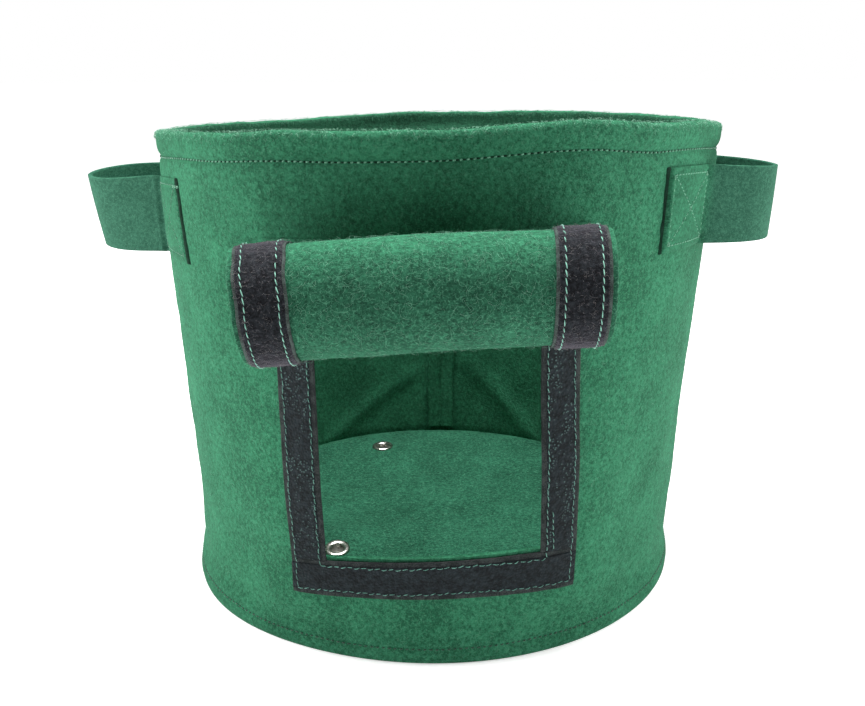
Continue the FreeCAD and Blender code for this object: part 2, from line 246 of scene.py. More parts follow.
# How much higher or lower than the plain cone the rim lies, by azimuth
RIM_LIFT = {-180: -7.5, -135: -11.5, -90: -10.4, -45: -4.1, -20: -0.6, 0: 0,
            27: 4, 45: 0.6, 90: -5.8, 135: -5.8, 180: -7.5}

# How far from round the bag is: waves round it, by size in mm, count and turn
WAVES = ((1.5, 2, 0.7), (1.1, 3, 2.1), (0.7, 5, 0.4))

# The soft folds low on the inside of the back: azimuth, slope, width and depth in mm
BACK_FOLDS = ((-174, 0.16, 6, 1.6), (-203, -1.0, 9, 2.3), (-155, 1.48, 10, 1.6), (-190, 0.3, 6, -1.2))


def eased(x, table):
    """A smooth curve through a table's values, level at each of them."""
    places = np.array(list(table), float)
    values = np.array(list(table.values()), float)
    i = np.clip(np.searchsorted(places, x, side="right") - 1, 0, len(places) - 2)
    return values[i] + (values[i + 1] - values[i]) * smooth((x - places[i]) / (places[i + 1] - places[i]))


def drape(points):
    """How the soft bag departs from a true cone: its rim sinks at the sides and back, the
    panel round the window is flatter and pulled askew below, and it is not quite round
    elsewhere."""
    p = np.array(points, float)
    x, y, z = p[..., 0], p[..., 1], p[..., 2]
    azimuth = np.arctan2(x, -y)
    angle = np.degrees(azimuth)
    radius = np.maximum(np.hypot(x, y), 1e-6)
    outer = smooth(radius / 0.1)
    share = np.clip(z / BAG_HEIGHT, 0, 1.1)
    away = smooth((np.abs(azimuth) - 0.6) / 0.7)
    bulge = sum(size * np.sin(count * azimuth + turn) for size, count, turn in WAVES) * away * share
    bulge += 1.8 * hump(angle + 90, 30) * np.sin(math.pi * np.clip(z / 0.3, 0, 1))
    sides = 1.3 * hump(angle + 90, 32) + 2.2 * hump(angle - 85, 32)
    bulge += sides * smooth((z - 110 * MM) / (150 * MM))
    flat = hump(np.abs(angle) - 29, 13) * smooth((z - 8 * MM) / (30 * MM))
    bulge += 6.5 * flat * (1 - 0.75 * smooth((z - 90 * MM) / (110 * MM)))
    foot = 1 - smooth((z - 2 * MM) / (55 * MM))
    bulge += foot * (5 * hump(angle + 52, 26) + 1.4 * hump(angle, 60))
    low = 1 - smooth((z - 45 * MM) / (50 * MM))
    back = np.where(angle > 0, angle - 360, angle)
    for middle, slope, width, depth in BACK_FOLDS:
        off = np.radians(back - middle) * radius + (z - 40 * MM) * slope
        bulge -= depth * hump(off, width * MM) * low * smooth((z - 4 * MM) / (14 * MM))
    bulge *= MM * outer
    front = (1 - smooth((np.abs(angle) - 32) / 28)) * smooth(z / (30 * MM)) * outer
    turn = np.radians(1.25 + 0.012 * angle) * front * np.clip((225 * MM - z) / (165 * MM), 0, 1)
    upper = np.clip((z - HOOK_LOW) / HOOK_WIDTH, 0, 1)
    rise = (0.08 * angle - 0.8) * (1 - upper) + (0.145 * angle + 2.2) * upper
    rise *= MM * front * (1 - smooth((z - 60 * MM) / (110 * MM)))
    x, y = x * np.cos(turn) - y * np.sin(turn), x * np.sin(turn) + y * np.cos(turn)
    lift = rise + eased(angle, RIM_LIFT) * MM * smooth((z - 190 * MM) / (80 * MM)) * outer
    p[..., 0] = x * (1 + bulge / radius)
    p[..., 1] = y * (1 + bulge / radius)
    p[..., 2] = z + lift
    return p


def build(name, parts, material):
    """One object from parts, each a tuple of vertices, faces and, if it has them, flat
    coordinates of the cloth and the vertices' border numbers: an edge between two
    vertices of one border is sharp. The material is given by its name."""
    vertices, faces, cloth, borders = [], [], [], []
    for part in parts:
        start = sum(len(v) for v in vertices)
        vertices.append(np.asarray(part[0], float))
        count = len(part[0])
        faces += [tuple(start + int(i) for i in face) for face in part[1]]
        cloth.append(part[2] if len(part) > 2 else np.zeros((count, 2)))
        borders.append(part[3] if len(part) > 3 else np.zeros(count, int))
    vertices, cloth = np.concatenate(vertices), np.concatenate(cloth)
    borders = np.concatenate(borders)
    mesh = bpy.data.meshes.new(name)
    mesh.from_pydata(vertices.tolist(), [], faces)
    mesh.polygons.foreach_set("use_smooth", [True] * len(mesh.polygons))
    layer = mesh.uv_layers.new(name="cloth")
    corners = np.zeros(len(mesh.loops), np.int64)
    mesh.loops.foreach_get("vertex_index", corners)
    layer.data.foreach_set("uv", cloth[corners].astype(np.float32).ravel())
    if borders.any():
        ends = np.zeros(len(mesh.edges) * 2, np.int64)
        mesh.edges.foreach_get("vertices", ends)
        ends = borders[ends].reshape(-1, 2)
        sharp = (ends[:, 0] == ends[:, 1]) & (ends[:, 0] > 0)
        mesh.edges.foreach_set("use_edge_sharp", sharp.tolist())
    mesh.materials.append(MATERIALS[material])
    mesh.update()
    obj = bpy.data.objects.new(name, mesh)
    bpy.context.scene.collection.objects.link(obj)
    return obj


def grid_faces(rows, columns, start=0, flip=False, wrap=False):
    """Quads of a grid whose vertices run along its rows, which wrap closes into rings."""
    faces = []
    for i in range(rows - 1):
        for j in range(columns if wrap else columns - 1):
            k = (j + 1) % columns
            a, b = start + i * columns + j, start + i * columns + k
            c, d = b + columns, a + columns
            faces.append((a, d, c, b) if flip else (a, b, c, d))
    return faces


def slab(top, bottom, cloth, bulge=0.3, flush=()):
    """A closed piece of cloth between two grids of points. Its edges bulge by that share of
    its thickness, apart from the flush ones: "first" or "last" row, where the next piece
    of the same cloth begins."""
    rows, columns = top.shape[:2]
    count = rows * columns
    faces = grid_faces(rows, columns) + grid_faces(rows, columns, count, flip=True)
    border = [(0, j) for j in range(columns)]
    border += [(i, columns - 1) for i in range(1, rows)]
    border += [(rows - 1, j) for j in range(columns - 2, -1, -1)]
    border += [(i, 0) for i in range(rows - 2, 0, -1)]
    middle = (top + bottom) / 2
    flush_rows = {0 if end == "first" else rows - 1 for end in flush}
    rim = []
    for i, j in border:
        ni = i if i in flush_rows else min(max(i, 1), rows - 2)
        inner = middle[ni, min(max(j, 1), columns - 2)]
        thickness = np.linalg.norm(top[i, j] - bottom[i, j])
        rim.append(middle[i, j] + unit(middle[i, j] - inner) * thickness * bulge)
    for n, (i, j) in enumerate(border):
        m = (n + 1) % len(border)
        a, b = i * columns + j, border[m][0] * columns + border[m][1]
        faces.append((b, a, 2 * count + n, 2 * count + m))
        faces.append((2 * count + m, 2 * count + n, count + a, count + b))
    flat = cloth.reshape(-1, 2)
    rim_flat = np.array([cloth[i, j] for i, j in border])
    marks = np.zeros((2, rows, columns), int)
    for n, row in enumerate(sorted(flush_rows)):
        marks[0, row], marks[1, row] = 1 + n, 3 + n
    marks = np.concatenate([marks.ravel(), np.zeros(len(border), int)])
    return np.concatenate([top.reshape(-1, 3), bottom.reshape(-1, 3), rim]), faces, \
        np.concatenate([flat, flat, rim_flat]), marks


def edged(low, high, count, border=0.7 * MM):
    """Places from low to high, with one close to each end so that the edge stays crisp."""
    return np.concatenate([[low, low + border], np.linspace(low + border, high - border, count)[1:-1],
                           [high - border, high]])


def lathe(section, centre, sides=48):
    """A ring: a closed (r, z) section turned about a vertical line."""
    section = np.asarray(section)
    angles = np.linspace(0, 2 * math.pi, sides, endpoint=False)
    rings = np.stack([
        centre[0] + section[:, None, 0] * np.cos(angles),
        centre[1] + section[:, None, 0] * np.sin(angles),
        centre[2] + np.repeat(section[:, 1:], sides, axis=1),
    ], axis=-1)
    vertices = rings.reshape(-1, 3)
    faces = grid_faces(len(section) + 1, sides, wrap=True)
    return vertices, [tuple(i % len(vertices) for i in face) for face in faces]


def stitches(path, normal, kind):
    """A row of stitches along a path: each is a short rounded strand whose ends dip into
    the cloth. path and normal are arrays of points and outward unit vectors."""
    pitch, length, radius = (value * MM for value in STITCHES[kind][:3])
    sink, slant = STITCHES[kind][3:]
    path, normal = np.asarray(path, float), np.asarray(normal, float)
    run = run_along(path)
    count = max(1, int(run[-1] / pitch))
    centres = (np.arange(count) + 0.5) * (run[-1] / count)
    shape = np.array([0.35, 0.85, 1.0, 0.85, 0.35])
    lift = np.array([-1.0, 0.15, 0.5, 0.15, -1.0]) * radius
    rings, sides = len(shape), 6
    vertices, faces = [], []
    for c in centres:
        along = c + np.linspace(-0.5, 0.5, rings) * length * (1 + 0.08 * rng.standard_normal())
        p = np.stack([np.interp(along, run, path[:, k]) for k in range(3)], axis=1)
        n = unit(np.array([np.interp(c, run, normal[:, k]) for k in range(3)]))
        side = np.cross(n, unit(p[-1] - p[0]))
        lean = slant * (1 + 0.3 * rng.standard_normal())
        base = len(vertices)
        for i in range(rings):
            centre = p[i] + n * (lift[i] + radius * (0.6 - sink)) + side * lean * (i - 2) / 4 * length
            for k in range(sides):
                a = 2 * math.pi * k / sides
                vertices.append(centre + (side * math.cos(a) + n * math.sin(a) * 0.8) * radius * shape[i])
        faces += grid_faces(rings, sides, base, flip=True, wrap=True)
        faces.append(tuple(base + k for k in range(sides)))
        faces.append(tuple(base + (rings - 1) * sides + k for k in range(sides))[::-1])
    return np.array(vertices), faces


def fuzz(points, normals, kind):
    """Loose felt fibres: each starts in the cloth at a point and wanders along it, rising
    a little and curling as it goes."""
    length, radius = (value * MM for value in FIBRES[kind][:2])
    rise, curl = FIBRES[kind][2:]
    points, normals = np.asarray(points, float), np.asarray(normals, float)
    count, rings = len(points), 7
    normals = unit(normals)
    heading = rng.standard_normal((count, 3))
    heading -= normals * np.sum(heading * normals, axis=1, keepdims=True)
    heading = unit(heading)
    bend = curl * rng.standard_normal(count)
    steps = length * (0.4 + 0.9 * rng.random(count)) / (rings - 1)
    climb = rise * (0.2 + rng.random(count))
    spine = [points - normals * radius * 2]
    directions = []
    for k in range(rings):
        arch = np.cos(math.pi * k / (rings - 1)) * climb
        step = unit(heading + normals * arch[:, None])
        directions.append(step)
        spine.append(spine[-1] + step * steps[:, None])
        turn = bend + 0.25 * rng.standard_normal(count)
        across = np.cross(normals, heading)
        heading = heading * np.cos(turn)[:, None] + across * np.sin(turn)[:, None]
    spine = np.stack(spine[:rings], axis=1)
    directions = np.stack(directions, axis=1)
    side = unit(np.cross(directions, normals[:, None]))
    up = np.cross(side, directions)
    taper = np.array([1, 1, 1, 0.95, 0.85, 0.7, 0.4])[None, :, None] * radius
    corners = [spine + (side * math.cos(a) + up * math.sin(a)) * taper for a in (0, 2.094, 4.189)]
    vertices = np.stack(corners, axis=2).reshape(-1, 3)
    faces = []
    for n in range(count):
        base = n * rings * 3
        faces += grid_faces(rings, 3, base, wrap=True)
        faces.append((base, base + 2, base + 1))
        end = base + (rings - 1) * 3
        faces.append((end, end + 1, end + 2))
    return vertices, faces


# ---------------------------------------------------------------- materials


def srgb(red, green, blue):
    """A colour's linear values from its usual 0 to 255 ones."""
    linear = [((c / 255 + 0.055) / 1.055) ** 2.4 if c > 10 else c / 255 / 12.92 for c in (red, green, blue)]
    return (*linear, 1.0)


class Paint:
    """A material's nodes. Its patterns lie in the object's own space, or, where the cloth
    bends at a joint, in the flat coordinates of the cloth."""

    def __init__(self, name, bends, **shader):
        self.material = bpy.data.materials.new(name)
        self.material.use_nodes = True
        self.tree = self.material.node_tree
        self.shader = self.tree.nodes["Principled BSDF"]
        for socket, value in shader.items():
            self.shader.inputs[socket.replace("_", " ")].default_value = value
        if bends:
            node = self.tree.nodes.new("ShaderNodeUVMap")
            node.uv_map = "cloth"
            self.place = node.outputs["UV"]
        else:
            self.place = self.tree.nodes.new("ShaderNodeTexCoord").outputs["Object"]

    def node(self, kind, inputs, **settings):
        """A node of a kind: its settings, and its inputs as values or as sockets."""
        node = self.tree.nodes.new(kind)
        for key, value in settings.items():
            setattr(node, key, value)
        for key, value in inputs.items():
            if isinstance(value, bpy.types.NodeSocket):
                self.tree.links.new(value, node.inputs[key])
            else:
                node.inputs[key].default_value = value
        return node

    def math(self, operation, a, b=0.0):
        """What a Math node makes of two values or sockets."""
        return self.node("ShaderNodeMath", {0: a, 1: b}, operation=operation).outputs[0]

    def noise(self, size, detail=2.0, roughness=0.5, shift=0.0, stretch=(1, 1, 1)):
        """Noise with features of a size in metres."""
        scale = tuple(s / size for s in stretch)
        mapping = self.node("ShaderNodeMapping", {"Vector": self.place, "Scale": scale,
                                                  "Location": (shift, shift * 1.7, shift * 0.6)})
        inputs = {"Vector": mapping.outputs[0], "Scale": 1.0, "Detail": detail, "Roughness": roughness}
        return self.node("ShaderNodeTexNoise", inputs).outputs["Fac"]

    def step(self, value, low, high):
        """0 below low, 1 above high, and smooth between them. low may be the greater."""
        inputs = {"Value": value, "From Min": low, "From Max": high}
        return self.node("ShaderNodeMapRange", inputs, interpolation_type="SMOOTHSTEP").outputs[0]

    def mix(self, share, first, second):
        """A mix of two colours: each is a socket, or red, green and blue from 0 to 255."""
        first, second = (srgb(*c) if isinstance(c, tuple) else c for c in (first, second))
        node = self.node("ShaderNodeMix", {0: share, 6: first, 7: second}, data_type="RGBA")
        return node.outputs[2]

    def weigh(self, *shares):
        """The sum of noises, each times its weight."""
        sums = [self.math("MULTIPLY", noise, weight) for noise, weight in shares]
        total = sums[0]
        for part in sums[1:]:
            total = self.math("ADD", total, part)
        return total

    def strands(self, size, width, shift=0.0, cover=0.5):
        """Thin curly lines, broken up: where smooth noise passes through one value."""
        lines = self.noise(size, 0.0, 0.5, shift)
        away = self.math("ABSOLUTE", self.math("SUBTRACT", lines, 0.5))
        line = self.step(away, width, width * 0.3)
        broken = self.step(self.noise(size * 0.7, 1.0, 0.5, shift + 9), 0.6 - cover * 0.2, 0.66 - cover * 0.2)
        return self.math("MULTIPLY", line, broken)

    def bump(self, height, distance, normal=None, strength=1.0):
        """The normal that a height gives, over the normal before it."""
        inputs = {"Height": height, "Distance": distance, "Strength": strength}
        if normal is not None:
            inputs["Normal"] = normal
        return self.node("ShaderNodeBump", inputs).outputs["Normal"]

    def finish(self, colour, normal, roughness=None):
        """Links the results to the shader, and hands over the material."""
        self.tree.links.new(colour, self.shader.inputs["Base Color"])
        self.tree.links.new(normal, self.shader.inputs["Normal"])
        if roughness is not None:
            self.tree.links.new(roughness, self.shader.inputs["Roughness"])
        return self.material


def felt(name, dark, light, strand, bends=False, fibres=0.15, size=1.0, grain=1.0, zone=None):
    """Needled felt: a mottled ground with pale fibres that lie on it in all directions. A
    zone is a band of other shades: the axis it is measured along, where it fades in and
    out, and its two shades. The flap's zone is a painted shade across the middle of its
    rolled front; the strap's is a greyer tone along its free loop."""
    paint = Paint(name, bends, Roughness=0.92, Specular_IOR_Level=0.12,
                  Sheen_Weight=0.35, Sheen_Roughness=0.45, Sheen_Tint=srgb(*light))
    broad = paint.noise(30 * MM, 2.0, 0.55)
    clumps = paint.noise(2.4 * MM, 3.0, 0.62, 3.0)
    fine = paint.noise(0.9 * MM, 2.0, 0.6, 5.0)
    shade = paint.weigh((broad, 0.2), (clumps, 0.45), (fine, 0.35))
    # On the flap the zone's shades are a painted shade; on the strap they are a greyer tone
    if zone:
        axis, start, full, ebb, end, zone_dark, zone_light = zone
        along = paint.node("ShaderNodeSeparateXYZ", {"Vector": paint.place}).outputs[axis]
        inside = paint.math("MULTIPLY", paint.step(along, start, full), paint.step(along, end, ebb))
        dark, light = paint.mix(inside, dark, zone_dark), paint.mix(inside, light, zone_light)
    colour = paint.mix(paint.step(shade, 0.36, 0.66), dark, light)
    hair = paint.strands(2.3 * MM * size, 0.030, 1.0)
    hair = paint.math("MAXIMUM", hair, paint.strands(1.6 * MM * size, 0.042, 2.0))
    hair = paint.math("MAXIMUM", hair, paint.strands(3.1 * MM * size, 0.024, 7.0))
    colour = paint.mix(paint.math("MULTIPLY", hair, fibres), colour, strand)
    normal = paint.bump(clumps, 0.8 * MM * grain, strength=0.7)
    normal = paint.bump(fine, 0.4 * MM * grain, normal, 0.8)
    normal = paint.bump(hair, 0.1 * MM, normal, fibres)
    return paint.finish(colour, normal)


def loop_tape_material():
    """Soft loop tape: a dark pile with paler tangled loops, its woven edges flatter."""
    paint = Paint("loop_tape", True, Roughness=0.95, Specular_IOR_Level=0.08,
                  Sheen_Weight=0.7, Sheen_Roughness=0.4, Sheen_Tint=srgb(140, 132, 144))
    clumps = paint.noise(2.6 * MM, 3.0, 0.65)
    fine = paint.noise(0.7 * MM, 2.0, 0.6, 4.0)
    shade = paint.weigh((clumps, 0.6), (fine, 0.4))
    colour = paint.mix(paint.step(shade, 0.36, 0.66), (10, 12, 14), (38, 43, 46))
    hair = paint.strands(2.2 * MM, 0.04, 2.0, 0.4)
    colour = paint.mix(paint.math("MULTIPLY", hair, 0.4), colour, (78, 78, 82))
    normal = paint.bump(clumps, 0.9 * MM, strength=0.9)
    normal = paint.bump(fine, 0.4 * MM, normal, 0.9)
    return paint.finish(colour, normal)


def woven(name, dark, light, bends):
    """The woven edge of the tape: fine ribs across it."""
    paint = Paint(name, bends, Roughness=0.75, Specular_IOR_Level=0.1)
    ribs = paint.noise(0.9 * MM, 1.0, 0.5, 2.0, (1, 3, 1))
    shade = paint.noise(5 * MM, 2.0, 0.5)
    colour = paint.mix(paint.step(paint.math("ADD", ribs, shade), 0.8, 1.25), dark, light)
    return paint.finish(colour, paint.bump(ribs, 0.25 * MM, strength=0.8))


def hook_tape_material(name, painted_glint):
    """Hook tape: stiff little hooks in rows, each a pale speck on the dark weave: a
    painted glint.
    """
    paint = Paint(name, False, Roughness=0.6, Specular_IOR_Level=0.1)
    cells = paint.node("ShaderNodeTexVoronoi", {"Vector": paint.place, "Scale": 1 / (1.5 * MM)})
    speck = paint.step(cells.outputs["Distance"], 0.4, 0.2)
    bright = paint.step(paint.noise(6 * MM, 3.0, 0.6, 6.0, (1, 1, 0.3)), 0.44, 0.6)
    speck = paint.math("MULTIPLY", paint.math("MULTIPLY", speck, bright), painted_glint)
    shade = paint.noise(3 * MM, 3.0, 0.65)
    colour = paint.mix(paint.step(shade, 0.35, 0.7), (14, 20, 22), (31, 40, 43))
    colour = paint.mix(speck, colour, (84, 112, 108))
    normal = paint.bump(cells.outputs["Distance"], -0.7 * MM, strength=0.8)
    normal = paint.bump(shade, 0.3 * MM, normal, 0.5)
    return paint.finish(colour, normal)


def thread_material(name, dark, light, bends=False):
    """Twisted sewing thread."""
    paint = Paint(name, bends, Roughness=0.6, Specular_IOR_Level=0.3,
                  Sheen_Weight=0.3, Sheen_Roughness=0.4)
    twist = paint.noise(0.5 * MM, 1.0, 0.5, 1.0)
    colour = paint.mix(paint.step(twist, 0.35, 0.65), dark, light)
    return paint.finish(colour, paint.bump(twist, 0.15 * MM, strength=0.7))


def metal_material():
    """Nickel-plated brass, lightly scuffed."""
    paint = Paint("eyelet_metal", False, Metallic=1.0, Roughness=0.3)
    scuff = paint.noise(1.6 * MM, 4.0, 0.65)
    colour = paint.mix(paint.step(scuff, 0.4, 0.7), (176, 172, 164), (226, 224, 218))
    rough = paint.math("ADD", paint.math("MULTIPLY", scuff, 0.3), 0.14)
    return paint.finish(colour, paint.bump(scuff, 0.08 * MM, strength=0.5), rough)


MATERIALS = {
    "green_felt": felt("green_felt", (22, 70, 48), (50, 118, 86), (112, 176, 142)),
    # A darker copy of the wall's felt for the inside of the hem: a painted shade
    "hem_inside_painted_shade": felt("hem_inside_painted_shade", (15, 48, 33), (36, 86, 62), (80, 136, 106)),
    # The flap's zone is a painted shade: a darker band over the run from 58 to 146 mm, the under-lit middle
    # of the rolled front, which stays on the felt when it unrolls
    "flap_felt": felt("flap_felt", (20, 66, 46), (52, 120, 88), (96, 166, 132), True, 0.3,
                      zone=(1, 58 * MM, 84 * MM, 114 * MM, 146 * MM, (14, 49, 35), (42, 97, 72))),
    "base_felt": felt("base_felt", (13, 51, 36), (45, 104, 79), (88, 150, 120), False, 0.3, 1.3, 1.3),
    "strap_felt": felt("strap_felt", (22, 70, 48), (48, 114, 83), (104, 166, 134), True, 0.12, grain=0.7,
                       zone=(0, 46 * MM, 60 * MM, 214 * MM, 228 * MM, (28, 70, 54), (51, 101, 80))),
    # Near-black felt for the strips at the straps' cut ends: a painted shadow in the gap under each end
    "painted_gap_shadow": felt("painted_gap_shadow", (10, 32, 22), (20, 52, 38), (30, 70, 52), True, 0.1),
    "loop_tape": loop_tape_material(),
    "loop_edge": woven("loop_edge", (38, 46, 43), (70, 82, 78), True),
    # The pale specks on the hooks are painted glints; the bottom strip has far fewer of them
    "hook_tape": hook_tape_material("hook_tape", 0.6),
    "hook_tape_fewer_glints": hook_tape_material("hook_tape_fewer_glints", 0.08),
    "hook_edge": woven("hook_edge", (28, 33, 33), (52, 58, 57), False),
    # Dark dots for the needle holes between the hem's stitches: painted shade
    "needle_hole_shade": woven("needle_hole_shade", (10, 38, 26), (22, 60, 43), False),
    "eyelet_metal": metal_material(),
}
THREADS = {
    "tape_thread": ((52, 104, 90), (104, 158, 142)),
    "flap_thread": ((64, 122, 104), (124, 184, 164)),
    "felt_thread": ((62, 124, 96), (108, 170, 140)),
    "hem_thread": ((72, 136, 108), (122, 182, 152)),
    # A darker copy of the right handle's thread for the left handle's stitches: painted shade
    "thread_painted_shade": ((34, 92, 66), (58, 122, 92)),
    "dark_thread": ((14, 46, 33), (32, 78, 58)),
    "fibre": ((44, 104, 78), (86, 152, 120)),
    # Paler fibres for the hem's crest: a painted highlight
    "crest_highlight_fibre": ((72, 134, 106), (136, 194, 164)),
    "tape_fibre": ((54, 54, 56), (104, 100, 98)),
}
for name, (dark, light) in THREADS.items():
    MATERIALS[name] = thread_material(name, dark, light, name == "flap_thread")


# ---------------------------------------------------------------- the bag


def ruffle(points):
    """The felt's unevenness: how far out each point of the wall lies."""
    return (0.55 * wobble(points, 42 * MM, 1) + 0.3 * wobble(points, 15 * MM, 2)
            + 0.16 * wobble(points, 6 * MM, 3)) * MM


def make_wall():
    """The wall: a closed profile, swept round, with the harvest window cut through it."""
    levels = np.concatenate([
        np.linspace(0, 12 * MM, 9),
        np.linspace(12 * MM, WINDOW_LOW, 16)[1:],
        np.linspace(WINDOW_LOW, WINDOW_HIGH, 46)[1:],
        np.linspace(WINDOW_HIGH, HEM_END, 15)[1:],
    ])
    hem_levels = np.linspace(HEM_END, BAG_HEIGHT - HEM_THICKNESS / 2, 13)[1:]
    turn = np.linspace(0, math.pi, 9)[1:-1]
    round_low, half = hem_levels[-1], HEM_THICKNESS / 2
    profile = [(outer_radius(z), z) for z in (*levels, *hem_levels)]
    fold = outer_radius(round_low) - half
    profile += [(fold + half * math.cos(a), round_low + half * math.sin(a)) for a in turn]
    profile += [(outer_radius(z) - HEM_THICKNESS, z) for z in hem_levels[::-1][:-1]]
    profile += [(outer_radius(HEM_END + 1.5 * MM) - HEM_THICKNESS + 0.8 * MM, HEM_END + 0.6 * MM)]
    profile += [(outer_radius(z) - FELT, z) for z in levels[::-1]]
    profile += [(outer_radius(0) - FELT / 2, -0.0)]
    profile = np.array(profile)
    rows = len(profile)

    across = np.linspace(-1, 1, 27)
    frame = np.linspace(0, 1, 14)[1:]
    side = 45
    rest = np.arange(side, 360 - side, 1.5)[1:]
    inside = np.arange(rows) > len(levels) + len(hem_levels)
    half_window = np.degrees(np.arcsin((WINDOW_HALF + 1.2 * MM * inside) / profile[:, 0]))[:, None]
    columns = np.concatenate([
        across * half_window,
        half_window + (side - half_window) * frame,
        np.broadcast_to(rest, (rows, len(rest))),
        360 - (half_window + (side - half_window) * np.concatenate([[1.0], frame[:0:-1] - frame[0]])),
    ], axis=1)
    count = columns.shape[1]
    grid = at(columns, profile[:, :1], profile[:, 1:])
    shift = ruffle(grid)
    shift *= smooth(profile[:, 1:] / (4 * MM))
    grid = at(columns, profile[:, :1] + shift, profile[:, 1:])
    crest = smooth((profile[:, 1] - 289 * MM) / (6 * MM))[:, None]
    grid[..., 2] += crest * (0.8 * wobble(grid, 22 * MM, 4) + 0.35 * wobble(grid, 8 * MM, 5)) * MM
    grid[..., 2] -= crest * 0.9 * MM
    grid = drape(grid)

    hem_top = len(levels) + len(hem_levels) + len(turn) - 2
    hem_foot = len(levels) + 2 * len(hem_levels) + len(turn)
    low = int(np.argmin(abs(levels - WINDOW_LOW)))
    high = int(np.argmin(abs(levels - WINDOW_HIGH)))
    inner = {i: rows - 2 - i for i in range(len(levels))}
    window = {(i, j) for i in range(low, high) for j in range(len(across) - 1)}
    window |= {(inner[i + 1], j) for i, j in window}
    faces, hem_shade_faces = [], []
    for i in range(rows):
        for j in range(count):
            if (i, j) in window:
                continue
            if hem_top <= i <= hem_foot:
                hem_shade_faces.append(len(faces))
            k, up = (j + 1) % count, (i + 1) % rows
            faces.append((i * count + j, i * count + k, up * count + k, up * count + j))
    last = len(across) - 1
    border = [(low, j) for j in range(last)] + [(i, last) for i in range(low, high)]
    border += [(high, j) for j in range(last, 0, -1)] + [(i, 0) for i in range(high, low, -1)]
    vertices = grid.reshape(-1, 3)
    middles = []
    centre = np.array([0, 0, (WINDOW_LOW + WINDOW_HIGH) / 2])
    for i, j in border:
        middle = (grid[i, j] + grid[inner[i], j]) / 2
        middles.append(middle + unit((centre - middle) * [1, 0, 1]) * 0.2 * MM)
    start = len(vertices)
    for n, (i, j) in enumerate(border):
        m = (n + 1) % len(border)
        ni, nj = border[m]
        outer_a, outer_b = i * count + j, ni * count + nj
        inner_a, inner_b = inner[i] * count + j, inner[ni] * count + nj
        faces.append((outer_a, outer_b, start + m, start + n)[::-1])
        faces.append((start + n, start + m, inner_b, inner_a)[::-1])
    wall = build("wall_felt", [(np.concatenate([vertices, middles]), faces)], "green_felt")
    # The inside of the hem, from the inner side of its round top down to its foot, takes the darker copy of
    # the felt: a painted shade
    wall.data.materials.append(MATERIALS["hem_inside_painted_shade"])
    for face in hem_shade_faces:
        wall.data.polygons[face].material_index = 1
    return wall


def wall_surface(azimuth, z, proud=0.0):
    """Points on the wall's outer surface, as it is draped."""
    p = at(azimuth, outer_radius(np.asarray(z, float)), z)
    return drape(at(azimuth, outer_radius(np.asarray(z, float)) + ruffle(p) + proud, z))


def round_normals(azimuth):
    """Level unit vectors away from the bag's axis."""
    return at(azimuth, 1.0, 0.0) * [1, 1, 0]


def base_lift(x, y):
    """How the soft base rises and sinks: up at the back, and a swelling behind the front
    left eyelet."""
    spot = joined(x, y, 0.0)
    inner = smooth((0.156 - np.hypot(x, y)) / 0.05)
    back = 4 * MM * smooth((y - 30 * MM) / (110 * MM))
    swelling = 6.2 * MM * np.exp(-((x + 60 * MM) ** 2 + (y + 44 * MM) ** 2) / (2 * (17 * MM) ** 2))
    uneven = 1.1 * MM * wobble(spot, 60 * MM, 6) + 0.4 * MM * wobble(spot, 17 * MM, 7)
    return back + (swelling + uneven) * inner


